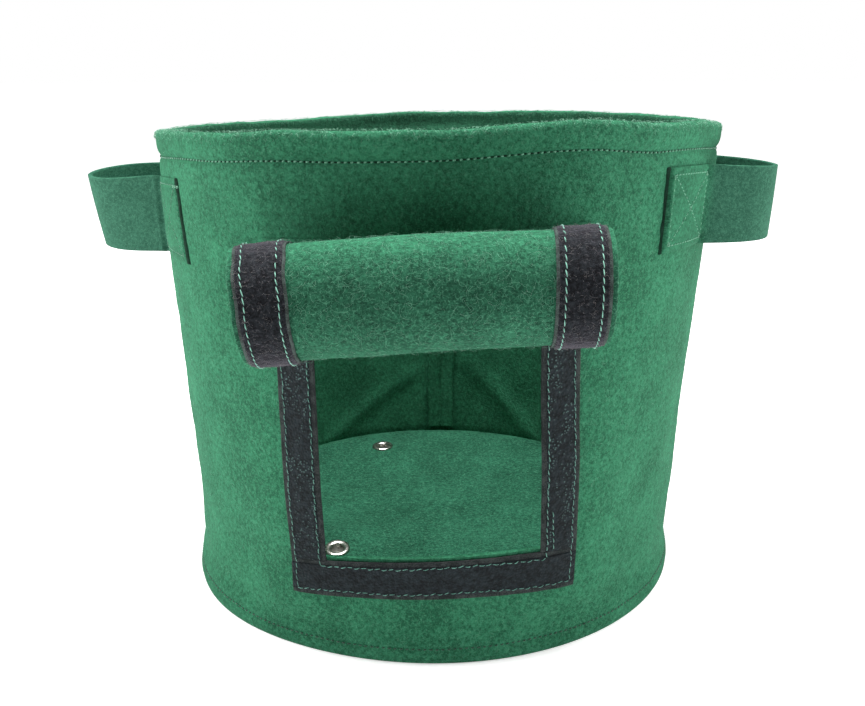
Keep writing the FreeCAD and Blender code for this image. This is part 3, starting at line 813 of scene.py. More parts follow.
def make_base():
    """The base: a felt disc whose edge is turned down inside the wall's foot. The holes are
    cut where the eyelets are."""
    flat_edge, around = 150 * MM, 150
    angles = np.linspace(0, 360, around, endpoint=False)
    ring = at(angles, flat_edge, 0.0)[:, :2]
    spacing = 5.5 * MM
    span = np.arange(-flat_edge, flat_edge, spacing)
    holes = []
    for radius, azimuth in EYELETS.values():
        middle = at(azimuth, radius, 0.0)[:2]
        holes.append((middle, middle + EYELET_HOLE * at(np.arange(0, 360, 20), 1.0, 0.0)[:, :2]))
    points = [tuple(p) for p in ring]
    for x in span:
        for y in span:
            shifted = np.array([x, y]) + rng.uniform(-0.2, 0.2, 2) * spacing
            clear = all(np.hypot(*(shifted - middle)) > EYELET_HOLE + 1.5 * MM for middle, _ in holes)
            if np.hypot(*shifted) < flat_edge - spacing * 0.6 and clear:
                points.append(tuple(shifted))
    edges = [(i, (i + 1) % around) for i in range(around)]
    loops = []
    for _, circle in holes:
        loop = list(range(len(points), len(points) + len(circle)))
        points += [tuple(p) for p in circle]
        edges += [(loop[i], loop[(i + 1) % len(loop)]) for i in range(len(loop))]
        loops.append(loop)
    made = geometry.delaunay_2d_cdt([Vector(p) for p in points], edges, [], 1, 1e-7)
    flat = np.array([tuple(p) for p in made[0]])
    triangles = []
    for face in made[2]:
        middle = flat[list(face)].mean(axis=0)
        if all(np.hypot(*(middle - hole)) > EYELET_HOLE * 0.98 for hole, _ in holes):
            triangles.append(tuple(face))
    origin = {old: new for new, olds in enumerate(made[3]) for old in olds}
    count = len(flat)
    top = np.column_stack([flat, np.full(count, BASE_TOP)])
    top[:, 2] += base_lift(flat[:, 0], flat[:, 1]) + 0.1 * MM * wobble(top, 6 * MM, 8)
    bottom = top - [0, 0, FELT]
    faces = triangles + [tuple(count + i for i in f[::-1]) for f in triangles]
    for loop in loops:
        for i in range(len(loop)):
            a, b = origin[loop[i]], origin[loop[(i + 1) % len(loop)]]
            faces.append((b, a, count + a, count + b)[::-1])
    section = [(153, 14), (155.6, 13.9), (157.3, 13.2), (158.1, 12), (158.4, 10.4), (159.1, 6),
               (159.7, 2.4), (159.6, 0.4), (158.4, 0), (157.1, 0.2), (156.8, 2.6), (156.2, 6),
               (155.5, 9.6), (154.6, 10.8), (153, 11)]
    section = np.array(section) * MM
    rings = at(angles, section[:, :1], section[:, 1:])
    rings[..., 2] *= 1 + base_lift(rings[..., 0], rings[..., 1]) / BASE_TOP
    start = 2 * count
    first = [origin[i] for i in range(around)]
    rows = [first] + [[start + i * around + j for j in range(around)] for i in range(len(section))]
    rows.append([count + i for i in first])
    for low, high in zip(rows, rows[1:]):
        for j in range(around):
            k = (j + 1) % around
            faces.append((low[j], high[j], high[k], low[k]))
    vertices = np.concatenate([top, bottom, rings.reshape(-1, 3)])
    return build("base_felt", [(vertices, faces)], "base_felt")


def make_eyelets():
    """Each eyelet is a rolled ring whose barrel goes through the felt, with its washer
    below."""
    ring = [(4.0, 9.5), (4.05, 9.3), (5.5, 9.3), (5.7, 9.6), (5.6, 10.0), (4.5, 10.05), (4.45, 14.05),
            (8.5, 14.05), (8.55, 14.3), (8.3, 14.9), (7.6, 15.4), (6.6, 15.6), (5.5, 15.5), (4.8, 15.2),
            (4.3, 14.75), (4.0, 14.2)]
    washer = [(4.6, 10.15), (8.0, 10.15), (8.1, 10.5), (8.0, 10.95), (4.6, 10.95)]
    rings, washers = [], []
    step = 5 * MM
    for radius, azimuth in EYELETS.values():
        x, y, _ = at(azimuth, radius, 0.0)
        lift = base_lift(x, y)
        slope_x = (base_lift(x + step, y) - base_lift(x - step, y)) / (2 * step)
        slope_y = (base_lift(x, y + step) - base_lift(x, y - step)) / (2 * step)
        for made, section in ((rings, ring), (washers, washer)):
            vertices, faces = lathe(np.array(section)[::-1] * MM, (0, 0, 0))
            vertices[:, 2] += lift + slope_x * vertices[:, 0] + slope_y * vertices[:, 1]
            made.append((vertices + [x, y, 0], faces))
    rings = build("eyelet_rings", rings, "eyelet_metal")
    washers = build("eyelet_backing_washers", washers, "eyelet_metal")
    return rings, washers


def make_back_seam():
    """The seam at the back: the wall's two edges lie side by side inside the bag, and the
    thread shows outside."""
    low, high = 22 * MM, 278 * MM
    z = edged(low, high, 60)
    azimuth = np.concatenate([[176.4, 176.6], np.linspace(177, 179.4, 6), [179.85, 180, 180.15],
                              np.linspace(180.6, 183, 6), [183.4, 183.6]])
    groove = hump(azimuth - 180, 0.3) * 1.6 * MM
    height, turn = z[:, None], azimuth[None, :]
    wander = 0.25 * np.sin(height / (23 * MM)) + 0.15 * np.sin(height / (9 * MM) + 1)
    line = at(turn + wander, outer_radius(height), height)
    curl = 0.5 * MM * (1 + wobble(line, 20 * MM, 9)) * (abs(turn - 180) / 3.6) ** 2
    outside = drape(at(turn + wander, outer_radius(height) + ruffle(line) - FELT - 0.1 * MM, height))
    inside = at(turn + wander, outer_radius(height) + ruffle(line) - 2 * FELT + groove - curl, height)
    cloth = joined(np.radians(turn) * RIM_RADIUS, height)
    edges = build("seam_allowance_felt", [slab(outside, drape(inside), cloth)], "green_felt")
    run = np.linspace(low, 280 * MM, 160)
    path = wall_surface(180 + 0.08 * np.sin(run / (30 * MM)), run)
    thread = stitches(path, round_normals(np.full(len(run), 180.0)), "seam")
    return edges, build("seam_stitching", [thread], "felt_thread")


def make_wall_stitching():
    """The rows round the foot and under the hem."""
    azimuth = np.linspace(0, 360, 721)
    outward = round_normals(azimuth)
    line = HEM_LINE + 0.35 * MM * np.sin(np.radians(azimuth * 7))
    line = line + 0.3 * MM * np.sin(np.radians(azimuth * 3) + 1)
    pitch = STITCHES["hem"][0] * MM
    hem = stitches(wall_surface(azimuth, line), outward, "hem")
    hem = build("hem_stitching", [hem], "hem_thread")
    between = azimuth + math.degrees(pitch / 2 / wall_radius(HEM_LINE))
    # Dark dots half a pitch along, between the pale stitches: painted shade in the needle holes
    holes = stitches(wall_surface(between, line, 0.1 * MM), outward, "needle_hole")
    holes = build("hem_needle_hole_shade", [holes], "needle_hole_shade")
    line = FOOT_LINE + 0.3 * MM * np.sin(np.radians(azimuth * 5))
    foot = stitches(wall_surface(azimuth, line), outward, "foot")
    return hem, holes, build("foot_stitching", [foot], "dark_thread")


# ---------------------------------------------------------------- hook tape


def along_window(azimuth, z):
    """Azimuths on the side strips, which widen upwards as the window's edge draws in."""
    share = np.clip((FRAME_ANGLE - np.abs(azimuth)) / (FRAME_ANGLE - SIDE_ANGLE), 0, 1)
    above = smooth((z - WINDOW_LOW) / (2 * MM)) * (z - WINDOW_LOW) / (WINDOW_HIGH - WINDOW_LOW)
    return azimuth - np.sign(azimuth) * 0.6 * share * above


def strip_places(heights, start, end, columns):
    """A grid of azimuths and heights on a strip of hook tape."""
    z, azimuth = np.meshgrid(heights, edged(start, end, columns, 0.2), indexing="ij")
    return along_window(azimuth, z), z


def strip(low, high, start, end, rows, columns):
    """The woven tape of a strip, on the wall."""
    azimuth, z = strip_places(edged(low, high, rows, 0.5 * MM), start, end, columns)
    under = wall_surface(azimuth, z, 0.05 * MM)
    over = wall_surface(azimuth, z, HOOK_THICKNESS) + at(azimuth, 0.12 * MM * wobble(under, 5 * MM, 11), 0.0)
    return slab(over, under, joined(np.radians(azimuth) * RIM_RADIUS, z), 0.2)


def make_hook_tape():
    """The strips round the window. Each has a field of hooks down its middle, on a woven
    tape."""
    top = HOOK_LOW + HOOK_WIDTH
    woven_edge, woven_angle = 2.2 * MM, 0.8
    places = {
        "bottom": (HOOK_LOW, top, -FRAME_ANGLE, FRAME_ANGLE, 14, 60),
        "left": (top + 0.3 * MM, HOOK_HIGH, -FRAME_ANGLE, -SIDE_ANGLE, 60, 14),
        "right": (top + 0.3 * MM, HOOK_HIGH, SIDE_ANGLE, FRAME_ANGLE, 60, 14),
    }
    made = {}
    for name, (low, high, start, end, rows, columns) in places.items():
        tape = build(f"hook_tape_{name}_weave", [strip(low, high, start, end, rows, columns)],
                     "hook_edge")
        if name == "bottom":
            low, high = low + woven_edge, high - woven_edge
        else:
            start, end = start + woven_angle, end - woven_angle
        azimuth, z = strip_places(edged(low, high, rows), start, end, columns)
        under = wall_surface(azimuth, z, HOOK_THICKNESS - 0.2 * MM)
        pile = 0.55 * MM + 0.12 * MM * wobble(under, 3 * MM, 12)
        over = under + at(azimuth, pile, 0.0)
        # The bottom strip takes far fewer painted glints than the sides
        field = build(f"hook_tape_{name}_hooks", [slab(over, under, joined(azimuth, z), 0.1)],
                      "hook_tape_fewer_glints" if name == "bottom" else "hook_tape")
        made[name] = (tape, field)
    return made


def make_hook_stitching():
    """Two rows of stitches on each strip."""
    inset, turn = 3 * MM, 1.05
    top = HOOK_LOW + HOOK_WIDTH
    proud = HOOK_THICKNESS + 0.35 * MM
    parts = []

    def row(azimuth, z):
        """A row of stitches through azimuths and heights."""
        azimuth = along_window(azimuth, z)
        path = wall_surface(azimuth, z, proud)
        parts.append(stitches(path, round_normals(azimuth), "hook_tape"))

    for z, reach in ((HOOK_LOW + inset, FRAME_ANGLE - turn), (top - inset, SIDE_ANGLE + turn)):
        azimuth = np.linspace(-reach, reach, 120)
        row(azimuth, z + 0.35 * MM * np.sin(azimuth / 4) + 0.35 * MM * np.sin(azimuth * 2.3 + 1))
    for sign in (-1, 1):
        for azimuth, start in ((FRAME_ANGLE - turn, HOOK_LOW + inset), (SIDE_ANGLE + turn, top - inset)):
            z = np.linspace(start, HOOK_HIGH - 2 * MM, 160)
            row(sign * azimuth + 0.08 * np.sin(z / (17 * MM)) + 0.1 * np.sin(z / (2.1 * MM) + sign), z)
    z = np.linspace(top + 1 * MM, top + 26 * MM, 30)
    row(SIDE_ANGLE + 2 * turn + 0.1 * np.sin(z / (8 * MM)), z)
    return build("hook_tape_stitching", parts, "tape_thread")


# ---------------------------------------------------------------- flap


def flap_corners():
    """The corners of the chain of slats, (out, up), from the sewn line to the free edge."""
    corners = [np.array([STAND_OFF, 0.0])]
    for i, length in enumerate(SLAT_LENGTHS):
        heading = -math.pi / 2 + ROLL_BEND * i
        corners.append(corners[-1] + length * np.array([math.cos(heading), math.sin(heading)]))
    return corners


CORNERS = flap_corners()
MIDDLES = [None] + [(a + b) / 2 for a, b in zip(CORNERS, CORNERS[1:])]
LEAN = math.atan2(RIM_RADIUS - FOOT_RADIUS, BAG_HEIGHT)
HEADER_RUN = HEADER_HIGH - FLAP_LINE


def chain_to_bag(x, out, up):
    """Points of the chain's frame, in the bag's."""
    away = wall_radius(FLAP_LINE) + out * math.cos(LEAN) + up * math.sin(LEAN)
    return joined(x, -away, FLAP_LINE - out * math.sin(LEAN) + up * math.cos(LEAN))


def middle_point(i):
    """The middle of a slat, as the roll lies: a little higher than the chain's own."""
    return chain_to_bag(0.0, *MIDDLES[i]) + [0, 0, ROLL_RISE + ROLL_ARCH * 2 / 3 if i > 3 else 0.0]


def section_of(i):
    """Points and inward normals of the rolled flap's outer line, for the piece of it from
    the middle of slat i to the next one, or to the free edge."""
    steps = np.linspace(0, 1, 8)[:, None]
    start = MIDDLES[i]
    if i == SLATS:
        line = start + (CORNERS[SLATS] - start) * steps
        way = np.broadcast_to(CORNERS[SLATS] - start, line.shape)
    else:
        end, pull = MIDDLES[i + 1], 0.66
        a, b = start + (CORNERS[i] - start) * pull, end + (CORNERS[i] - end) * pull
        line = bezier(start, a, b, end, steps)
        way = (1 - steps) ** 2 * (a - start) + 2 * (1 - steps) * steps * (b - a) + steps**2 * (end - b)
    way = unit(way)
    return line, np.column_stack([-way[:, 1], way[:, 0]])


RUN_TO_MIDDLE = [0, HEADER_RUN + SLAT_LENGTHS[0] / 2]
for before, after in zip(SLAT_LENGTHS, SLAT_LENGTHS[1:]):
    RUN_TO_MIDDLE.append(RUN_TO_MIDDLE[-1] + (before + after) / 2)
FLAP_LENGTH = RUN_TO_MIDDLE[-1] + SLAT_LENGTHS[-1] / 2


# How much higher the roll lies than the chain: all along, and more in its middle
ROLL_RISE = 0.8 * MM
ROLL_ARCH = 1.3 * MM

# How far its left end slides towards the middle, in mm, by the run along the flap in mm
LEFT_SLIDE = {25: 0, 64: 6, 92: 5.4, 114: 4, 135: 1, 152: -1.2, 170: 0, 260: 0}


def flap_grid(i, x, inward):
    """A grid of points on a piece of the rolled flap, at a depth into the felt, with its
    flat coordinates. The roll is a little uneven and tilts down to the left."""
    line, normal = section_of(i)
    lengths = run_along(line)
    cut = (RUN_TO_MIDDLE[i + 1] if i < SLATS else FLAP_LENGTH) - RUN_TO_MIDDLE[i]
    run = RUN_TO_MIDDLE[i] + lengths / lengths[-1] * cut
    flat = joined(x[None, :], run[:, None])
    spot = joined(flat[..., 0], flat[..., 1], 0.0)
    uneven = (0.5 * wobble(spot, 38 * MM, 21) + 0.22 * wobble(spot, 13 * MM, 22)) * MM
    fade = smooth((run - 30 * MM) / (20 * MM))[:, None]
    depth = inward + (uneven + 0.9 * MM * np.clip(x / FLAP_HALF, 0, 1)) * fade
    out = line[:, :1] + normal[:, :1] * depth
    up = line[:, 1:] + normal[:, 1:] * depth
    share = x[None, :] / FLAP_HALF
    slide = eased(run / MM, LEFT_SLIDE)[:, None] * MM * smooth(-share)
    points = chain_to_bag(x[None, :] + slide, out, up + (ROLL_RISE + ROLL_ARCH * (1 - share**2)) * fade)
    points[..., 2] += x[None, :] * math.tan(ROLL_TILT)
    return points, flat, chain_normals(normal)


def chain_normals(normal):
    """Normals (out, up), in the bag's frame."""
    return joined(0.0, -(normal[:, 0] * math.cos(LEAN) + normal[:, 1] * math.sin(LEAN)),
                  -normal[:, 0] * math.sin(LEAN) + normal[:, 1] * math.cos(LEAN))


def header_grid(x, depth):
    """The top of the flap: sewn to the round wall, then coming out to the straight roll."""
    sewn = np.linspace(HEADER_HIGH, HEADER_LOW, 6)
    azimuth = np.degrees(x / wall_radius(HEADER_LOW))
    tilt = x * math.tan(ROLL_TILT)
    pressed = np.array([0.2, 0.55, 0.85, 1, 1, 1])[:, None]
    on_wall = wall_surface(azimuth[None, :], sewn[:, None] + tilt * HEADER_TILT, 0.1 * MM + depth * pressed)
    start, before = on_wall[-1], on_wall[-2]
    end = chain_to_bag(x, MIDDLES[1][0] + depth, MIDDLES[1][1])
    end[..., 2] += tilt
    down = chain_to_bag(0.0, 0.0, -1.0) - chain_to_bag(0.0, 0.0, 0.0)
    pull = np.linalg.norm(end - start, axis=-1, keepdims=True) * 0.4
    leave = unit(start - before)
    t = np.linspace(0, 1, 11)[1:, None, None]
    a, b = start + leave * pull, end - down * pull
    free = bezier(start, a, b, end, t)
    run = np.concatenate([(HEADER_HIGH - sewn), (HEADER_HIGH - HEADER_LOW) + t[:, 0, 0] * (
        RUN_TO_MIDDLE[1] - (HEADER_HIGH - HEADER_LOW))])
    flat = joined(x[None, :], run[:, None])
    return np.concatenate([on_wall, free]), flat


def make_flap():
    """The flap in pieces: the header bends from the wall to the first slat, each next piece
    bends between two slats, and the last one is the free edge."""
    x = edged(-FLAP_HALF, FLAP_HALF, 58)
    tape_inner = TAPE_EDGE - LOOP_WIDTH
    pieces = []
    for i in range(SLATS + 1):
        flush = ("last",) if i == 0 else ("first",) if i == SLATS else ("first", "last")
        if i == 0:
            outer, flat = header_grid(x, 0.0)
            inner, _ = header_grid(x, FELT)
        else:
            outer, flat, _ = flap_grid(i, x, 0.0)
            inner, _, _ = flap_grid(i, x, FELT)
        panel = build(f"flap_felt_{i}", [slab(outer, inner, flat, 0.18, flush)], "flap_felt")
        runs = np.linalg.norm(np.diff(outer, axis=0), axis=2).sum(axis=0) if i == 0 else np.ptp(flat[..., 1])
        item = {"felt": panel, "index": i, "run": float(np.mean(runs)), "longest": float(np.max(runs))}
        if i > 0:
            item |= tape_on_flap(i, flush, tape_inner)
            item["fuzz"] = fuzz_on_flap(i, tape_inner)
        pieces.append(item)
    return pieces


def tape_on_flap(i, flush, tape_inner):
    """The loop tape on a piece of the flap, its woven edges and its stitches."""
    edge, gap = 1.3 * MM, 0.08 * MM
    strips = [(-TAPE_EDGE, -tape_inner), (tape_inner, TAPE_EDGE)]
    if i >= SLATS - 1:
        strips = [(-TAPE_EDGE, TAPE_EDGE)]
    piles, weaves, rows, loose = [], [], [], []
    for low, high in strips:
        x = edged(low, high, 14 if len(strips) == 2 else 50, 0.6 * MM)
        over, flat, _ = flap_grid(i, x, -1.15 * MM)
        under, _, _ = flap_grid(i, x, -gap)
        weaves.append(slab(over, under, flat, 0.15, flush))
        x = edged(low + edge, high - edge, 16 if len(strips) == 2 else 50, 0.5 * MM)
        under, flat, normal = flap_grid(i, x, -1.0 * MM)
        spot = joined(flat[..., 0], flat[..., 1], 0.0)
        height = 0.75 * MM + 0.25 * MM * wobble(spot, 5 * MM, 31) + 0.15 * MM * wobble(spot, 2.5 * MM, 32)
        border = np.minimum(flat[..., 0] - x[0], x[-1] - flat[..., 0])
        height = height * (0.35 + 0.65 * smooth(border / (2 * MM)))
        over = under - normal[:, None, :] * height[..., None]
        piles.append(slab(over, under, flat, 0.1, flush))
        count = int(2.2 * len(x))
        lines, columns = rng.integers(0, len(over), count), rng.integers(0, len(x), count)
        loose.append(fuzz(over[lines, columns], -normal[lines], "tape"))
        for row in (low + 4 * MM, high - 4 * MM):
            path, _, normal = flap_grid(i, np.array([row]), -1.9 * MM)
            rows.append(stitches(path[:, 0], -normal, "loop_tape"))
    return {
        "pile": build(f"loop_pile_{i}", piles, "loop_tape"),
        "weave": build(f"loop_tape_weave_{i}", weaves, "loop_edge"),
        "thread": build(f"flap_stitching_{i}", rows, "flap_thread"),
        "loose": build(f"loop_fuzz_{i}", loose, "tape_fibre"),
    }


def fuzz_on_flap(i, tape_inner):
    """Loose fibres on the outer face of a piece of the flap."""
    places = rng.uniform(-tape_inner, tape_inner, 110)
    x = np.linspace(-FLAP_HALF, FLAP_HALF, 87)
    points, _, normal = flap_grid(i, x, 0.0)
    columns = np.searchsorted(x, places)
    rows = rng.integers(0, points.shape[0], len(places))
    loose = fuzz(points[rows, columns], -normal[rows], "flap")
    return build(f"flap_fuzz_{i}", [loose], "fibre")


# ---------------------------------------------------------------- handles


def strap_line(radius, reach):
    """The strap's inner face in plan, (out, side) from the bag's axis, for a wall of that
    radius: flat on the wall, then an arch, then flat again."""
    end, leave = LOOP_HALF_ANGLE + PATCH_ANGLE, LOOP_HALF_ANGLE + 1.6
    patch = np.radians(np.concatenate([[-end, -end + 0.25], np.linspace(-end + 0.6, -leave, 30)]))
    flat = radius * joined(np.cos(patch), np.sin(patch))
    foot = math.radians(-LOOP_HALF_ANGLE)
    way = math.radians(47)
    along, away = np.array([-math.sin(foot), math.cos(foot)]), np.array([math.cos(foot), math.sin(foot)])
    heading = along * math.cos(way) + away * math.sin(way)
    first = radius * away + heading * 6 * MM
    last = flat[-1]
    t = np.linspace(0, 1, 8)[1:, None]
    tangent = np.array([-math.sin(patch[-1]), math.cos(patch[-1])])
    bend = bezier(last, last + tangent * 3.5 * MM, first - heading * 4 * MM, first, t)
    apex = np.array([radius + reach - STRAP_THICKNESS, 0.0])
    t = np.linspace(0, 1, 26)[1:, None]
    arch = bezier(first, first + heading * 27 * MM, apex - [0, 27 * MM], apex, t)
    half = np.concatenate([flat, bend, arch])
    return np.concatenate([half, half[-2::-1] * [1, -1]])


def strap_relief(run, height, width, press):
    """How much thicker or thinner the sewn ends of the strap are: folded at the very end,
    pressed down by the box and cross of stitches and at the long edges."""
    end = np.minimum(run, run[-1] - run)
    patch = math.radians(PATCH_ANGLE) * RIM_RADIUS
    sewn = smooth((patch - end) / (3 * MM))
    edge = min(height, width - height)
    relief = -0.7 * MM - press + 0.8 * MM * hump(end - 2.2 * MM, 1.5 * MM)
    relief -= 1.3 * MM * hump(end, 0.7 * MM)
    relief -= 1.1 * MM * (1 - smooth(edge / (2.5 * MM)))
    box_low, box_high, box_near, box_far = 4 * MM, width - 4 * MM, 4 * MM, patch - 4 * MM
    climb = (end - box_near) / (box_far - box_near) * (box_high - box_low)
    lines = [height - box_low, height - box_high, end - box_near, end - box_far,
             (height - box_low - climb) * 0.8, (height - box_high + climb) * 0.8]
    for off in lines:
        relief = relief - 0.45 * MM * hump(off, 1.2 * MM)
    return np.maximum(relief, -2.6 * MM) * sewn


def strap_grid(side, depth, across):
    """A grid on a handle's strap, at a distance from its inner face, with its flat
    coordinates and the outward normals."""
    shape = HANDLES[side]
    a, reach, width = math.radians(shape["azimuth"]), shape["reach"], shape["width"]
    outward, sideways = np.array([math.sin(a), -math.cos(a), 0]), np.array([math.cos(a), math.sin(a), 0])
    rows, flats, normals = [], [], []
    for share in across:
        height = share * width
        z = STRAP_MIDDLE + shape["lift"] - width / 2 + height
        upright = wall_radius(STRAP_MIDDLE + width / 2) - wall_radius(z)
        line = strap_line(outer_radius(z) + 0.15 * MM, reach + upright)
        way = unit(np.gradient(line, axis=0))
        normal = np.column_stack([way[:, 1], -way[:, 0]])
        run = run_along(line)
        along = (line[:, 0] - outer_radius(z) * math.cos(math.radians(LOOP_HALF_ANGLE))) / reach
        free, fall = smooth(along), np.clip(along, 0, 1)
        lie = depth + 0.25 * MM * np.sin(run / (19 * MM) + share * 2) * free
        if depth:
            lie = lie + strap_relief(run, height, width, shape["press"])
        spread = line + normal * lie[:, None]
        out = spread[:, 0] + (height - width / 2) * shape["tip"] * free
        points = outward * out[:, None] + sideways * spread[:, 1:]
        points[:, 2] = z - shape["droop"] * fall - spread[:, 1] * shape["tilt"] * free
        points += unit(points * [1, 1, 0]) * (ruffle(points) * (1 - free))[:, None]
        skew = Matrix.Rotation(math.radians(shape["skew"] * (share - 0.5)), 3, "Z")
        points = points @ np.array(skew).T
        rows.append(drape(points))
        flats.append(np.column_stack([run, np.full(len(run), z)]))
        normals.append(outward * normal[:, :1] + sideways * normal[:, 1:])
    return np.array(rows), np.array(flats), np.array(normals)


def make_handle(side):
    """A handle: one strap of felt, both ends sewn flat on the wall with a box and a cross."""
    across = np.concatenate([[0, 0.015], np.linspace(0.04, 0.96, 28), [0.985, 1]])
    under, flat, _ = strap_grid(side, 0.0, across)
    over, _, _ = strap_grid(side, STRAP_THICKNESS, across)
    strap = build(f"handle_{side}_strap", [slab(over, under, flat, 0.12)], "strap_felt")

    # Dark strips just beyond each cut end of the strap, rising from the wall under it: a painted shadow in
    # the gap between the strap's end and the wall
    gap_shadows = []
    reaches, heights = np.array([-0.4, 0.3, 0.9, 1.5]) * MM, np.array([1.0, 0.8, 0.5, 0.1]) * MM
    for end, before in ((0, 1), (-1, -2)):
        foot, normal = under[:, end], unit(over[:, end] - under[:, end])
        beyond = unit(under[:, end] - under[:, before])
        ragged = 1 + 0.45 * wobble(foot, 5 * MM, 51)[:, None, None]
        ground = foot[:, None] + beyond[:, None] * reaches[None, :, None] * ragged
        lie = flat[:, end][:, None] + joined(reaches, 0.0)
        over_gap = ground + normal[:, None] * heights[None, :, None]
        gap_shadows.append(slab(over_gap, ground - normal[:, None] * 0.6 * MM, lie))
    gap_shadows = build(f"handle_{side}_end_gap_shadows", gap_shadows, "painted_gap_shadow")

    shape = HANDLES[side]
    strap_low = STRAP_MIDDLE + shape["lift"] - shape["width"] / 2
    rows = []

    def row(azimuths, heights, rise=STRAP_THICKNESS - 0.95 * MM - shape["press"]):
        """A straight row of stitches: the azimuths and heights of its two ends."""
        t = np.linspace(0, 1, 40)
        z = np.interp(t, [0, 1], heights)
        share = (z - strap_low) / shape["width"]
        azimuth = shape["azimuth"] + np.interp(t, [0, 1], azimuths) + shape["skew"] * (share - 0.5)
        rows.append(stitches(wall_surface(azimuth, z, rise), round_normals(azimuth), "handle"))

    low, high = strap_low + 4 * MM, strap_low + shape["width"] - 4 * MM
    for sign in (-1, 1):
        near, far = sign * (LOOP_HALF_ANGLE + 1.5), sign * (LOOP_HALF_ANGLE + PATCH_ANGLE - 1.3)
        for z in (low, high):
            row((near, far), (z, z))
        for azimuth in (near, far):
            row((azimuth, azimuth), (low, high))
        row((near, far), (low, high))
        row((near, far), (high, low))
    boxes, rows, tacks = rows, [], None
    if side == "left":
        far = LOOP_HALF_ANGLE + PATCH_ANGLE
        for z in (high, high - 0.8 * MM):
            row((far - 1.9, far + 1.9), (z, z), 1.6 * MM)
        tacks = build("handle_left_bar_tack", rows, "hem_thread")
    # The left handle's stitches take the darker copy of the thread: painted shade
    colour = "thread_painted_shade" if side == "left" else "felt_thread"
    return strap, gap_shadows, build(f"handle_{side}_stitching", boxes, colour), tacks


# ---------------------------------------------------------------- loose fibres


def make_rim_fuzz():
    """Fibres that stand up along the hem's rounded top, and that lie on the wall. Those on
    its crest are paler: a painted highlight."""
    count = 5200
    azimuth = rng.uniform(0, 360, count)
    turn = rng.uniform(-0.3, math.pi + 0.2, count)
    half = HEM_THICKNESS / 2
    z = BAG_HEIGHT - half + half * np.sin(turn)
    radius = outer_radius(BAG_HEIGHT - half) - half + half * np.cos(turn)
    points = drape(at(azimuth, radius, z - 0.9 * MM))
    a = np.radians(azimuth)
    normals = joined(np.cos(turn) * np.sin(a), -np.cos(turn) * np.cos(a), np.sin(turn))
    rim = fuzz(points, normals, "rim")
    # The paler fibres on the crest: a painted highlight
    crest = rng.permutation(np.flatnonzero(abs(turn - 1.2) < 0.75))
    pale = fuzz(points[crest] + normals[crest] * 0.5 * MM, normals[crest], "crest")
    count = 2500
    azimuth = rng.uniform(30, 330, count)
    z = rng.uniform(4 * MM, HEM_LINE + 10 * MM, count)
    wall = fuzz(wall_surface(azimuth, z), round_normals(azimuth), "wall")
    fibres = build("felt_fuzz", [rim, wall], "fibre")
    return fibres, build("rim_fuzz", [pale], "crest_highlight_fibre")


# ---------------------------------------------------------------- putting it together


def attach(obj, slot, *nodes):
    """A piece of the bag itself: it rides on the root and stands for CAD nodes."""
    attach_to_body(obj, "root")
    if nodes:
        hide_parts(*nodes)
    return obj


wall = attach(make_wall(), "green_felt", "side_wall")
base = attach(make_base(), "base_felt", "base_disc")
rings, washers = make_eyelets()
attach(rings, "eyelet_metal", "drain_eyelets")
attach(washers, "eyelet_metal", "eyelet_washers")
seam_edges, seam_thread = make_back_seam()
attach(seam_edges, "green_felt", "back_seam_allowance")
attach(seam_thread, "felt_thread", "back_seam_thread")
hem_row, hem_hole_shade, foot_row = make_wall_stitching()
attach(hem_hole_shade, "felt_thread")
attach(hem_row, "felt_thread", "hem_thread")
attach(foot_row, "felt_thread", "foot_thread")
for place, (tape, hooks) in make_hook_tape().items():
    attach(tape, "hook_tape", f"hook_tape_{place}")
    attach(hooks, "hook_tape")
attach(make_hook_stitching(), "tape_thread", "hook_tape_thread")
for fibres in make_rim_fuzz():
    attach(fibres, "green_felt")

for item in make_flap():
    i = item["index"]
    before, after = ("root" if i == 0 else f"flap_{i}"), f"flap_{i + 1}"
    extras = [item[key] for key in ("pile", "weave", "thread", "loose", "fuzz") if key in item]
    for piece in [item["felt"], *extras]:
        if i == SLATS:
            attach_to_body(piece, f"flap_{SLATS}")
        else:
            start = chain_to_bag(0.0, *CORNERS[0]) if i == 0 else middle_point(i)
            end = middle_point(i + 1)
            span = end - start
            start, end = start + span * BLEND_INSET, end - span * BLEND_INSET
            # Square to the rows of the roll, which tilts; the sewn edge tilts less
            tilt = math.tan(ROLL_TILT) * (HEADER_BEND_TILT if i == 0 else 1.0)
            end[0] = -(end - start)[2] * tilt
            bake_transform(piece)
    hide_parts("flap_header" if i == 0 else f"flap_panel_{i}")
    if i > 0:
        node = f"loop_tape_bottom_{i - SLATS + 2}" if i >= SLATS - 1 else f"loop_tapes_{i}"
        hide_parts(node)

for side, shape in HANDLES.items():
    strap, gap_shadows, thread, tacks = make_handle(side)
    azimuth = math.radians(shape["azimuth"])
    outward = np.array([math.sin(azimuth), -math.cos(azimuth), 0])
    foot = wall_radius(STRAP_MIDDLE) * math.cos(math.radians(LOOP_HALF_ANGLE))
    start, end = (tuple(outward * (foot + reach)) for reach in LOOP_BEND)
    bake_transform(strap)
    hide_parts(f"handle_{side}_loop", f"handle_{side}_sewn_ends")
    attach(gap_shadows, "strap_felt")
    if tacks:
        attach(tacks, "felt_thread")
    attach(thread, "felt_thread", f"handle_{side}_thread")


# The header's own row of stitches
span = np.linspace(-FLAP_HALF + 3 * MM, FLAP_HALF - 3 * MM, 140)
turn = np.degrees(span / wall_radius(HEADER_LOW))
row = wall_surface(turn, HEADER_LOW + 2 * MM + span * math.tan(ROLL_TILT) * HEADER_TILT, 0.2 * MM + FELT)
header_row = stitches(row, round_normals(turn), "header")
header_row = build("flap_header_stitching", [header_row], "felt_thread")
attach(header_row, "felt_thread", "flap_header_thread")


# ---------------------------------------------------------------- stage, lights and camera


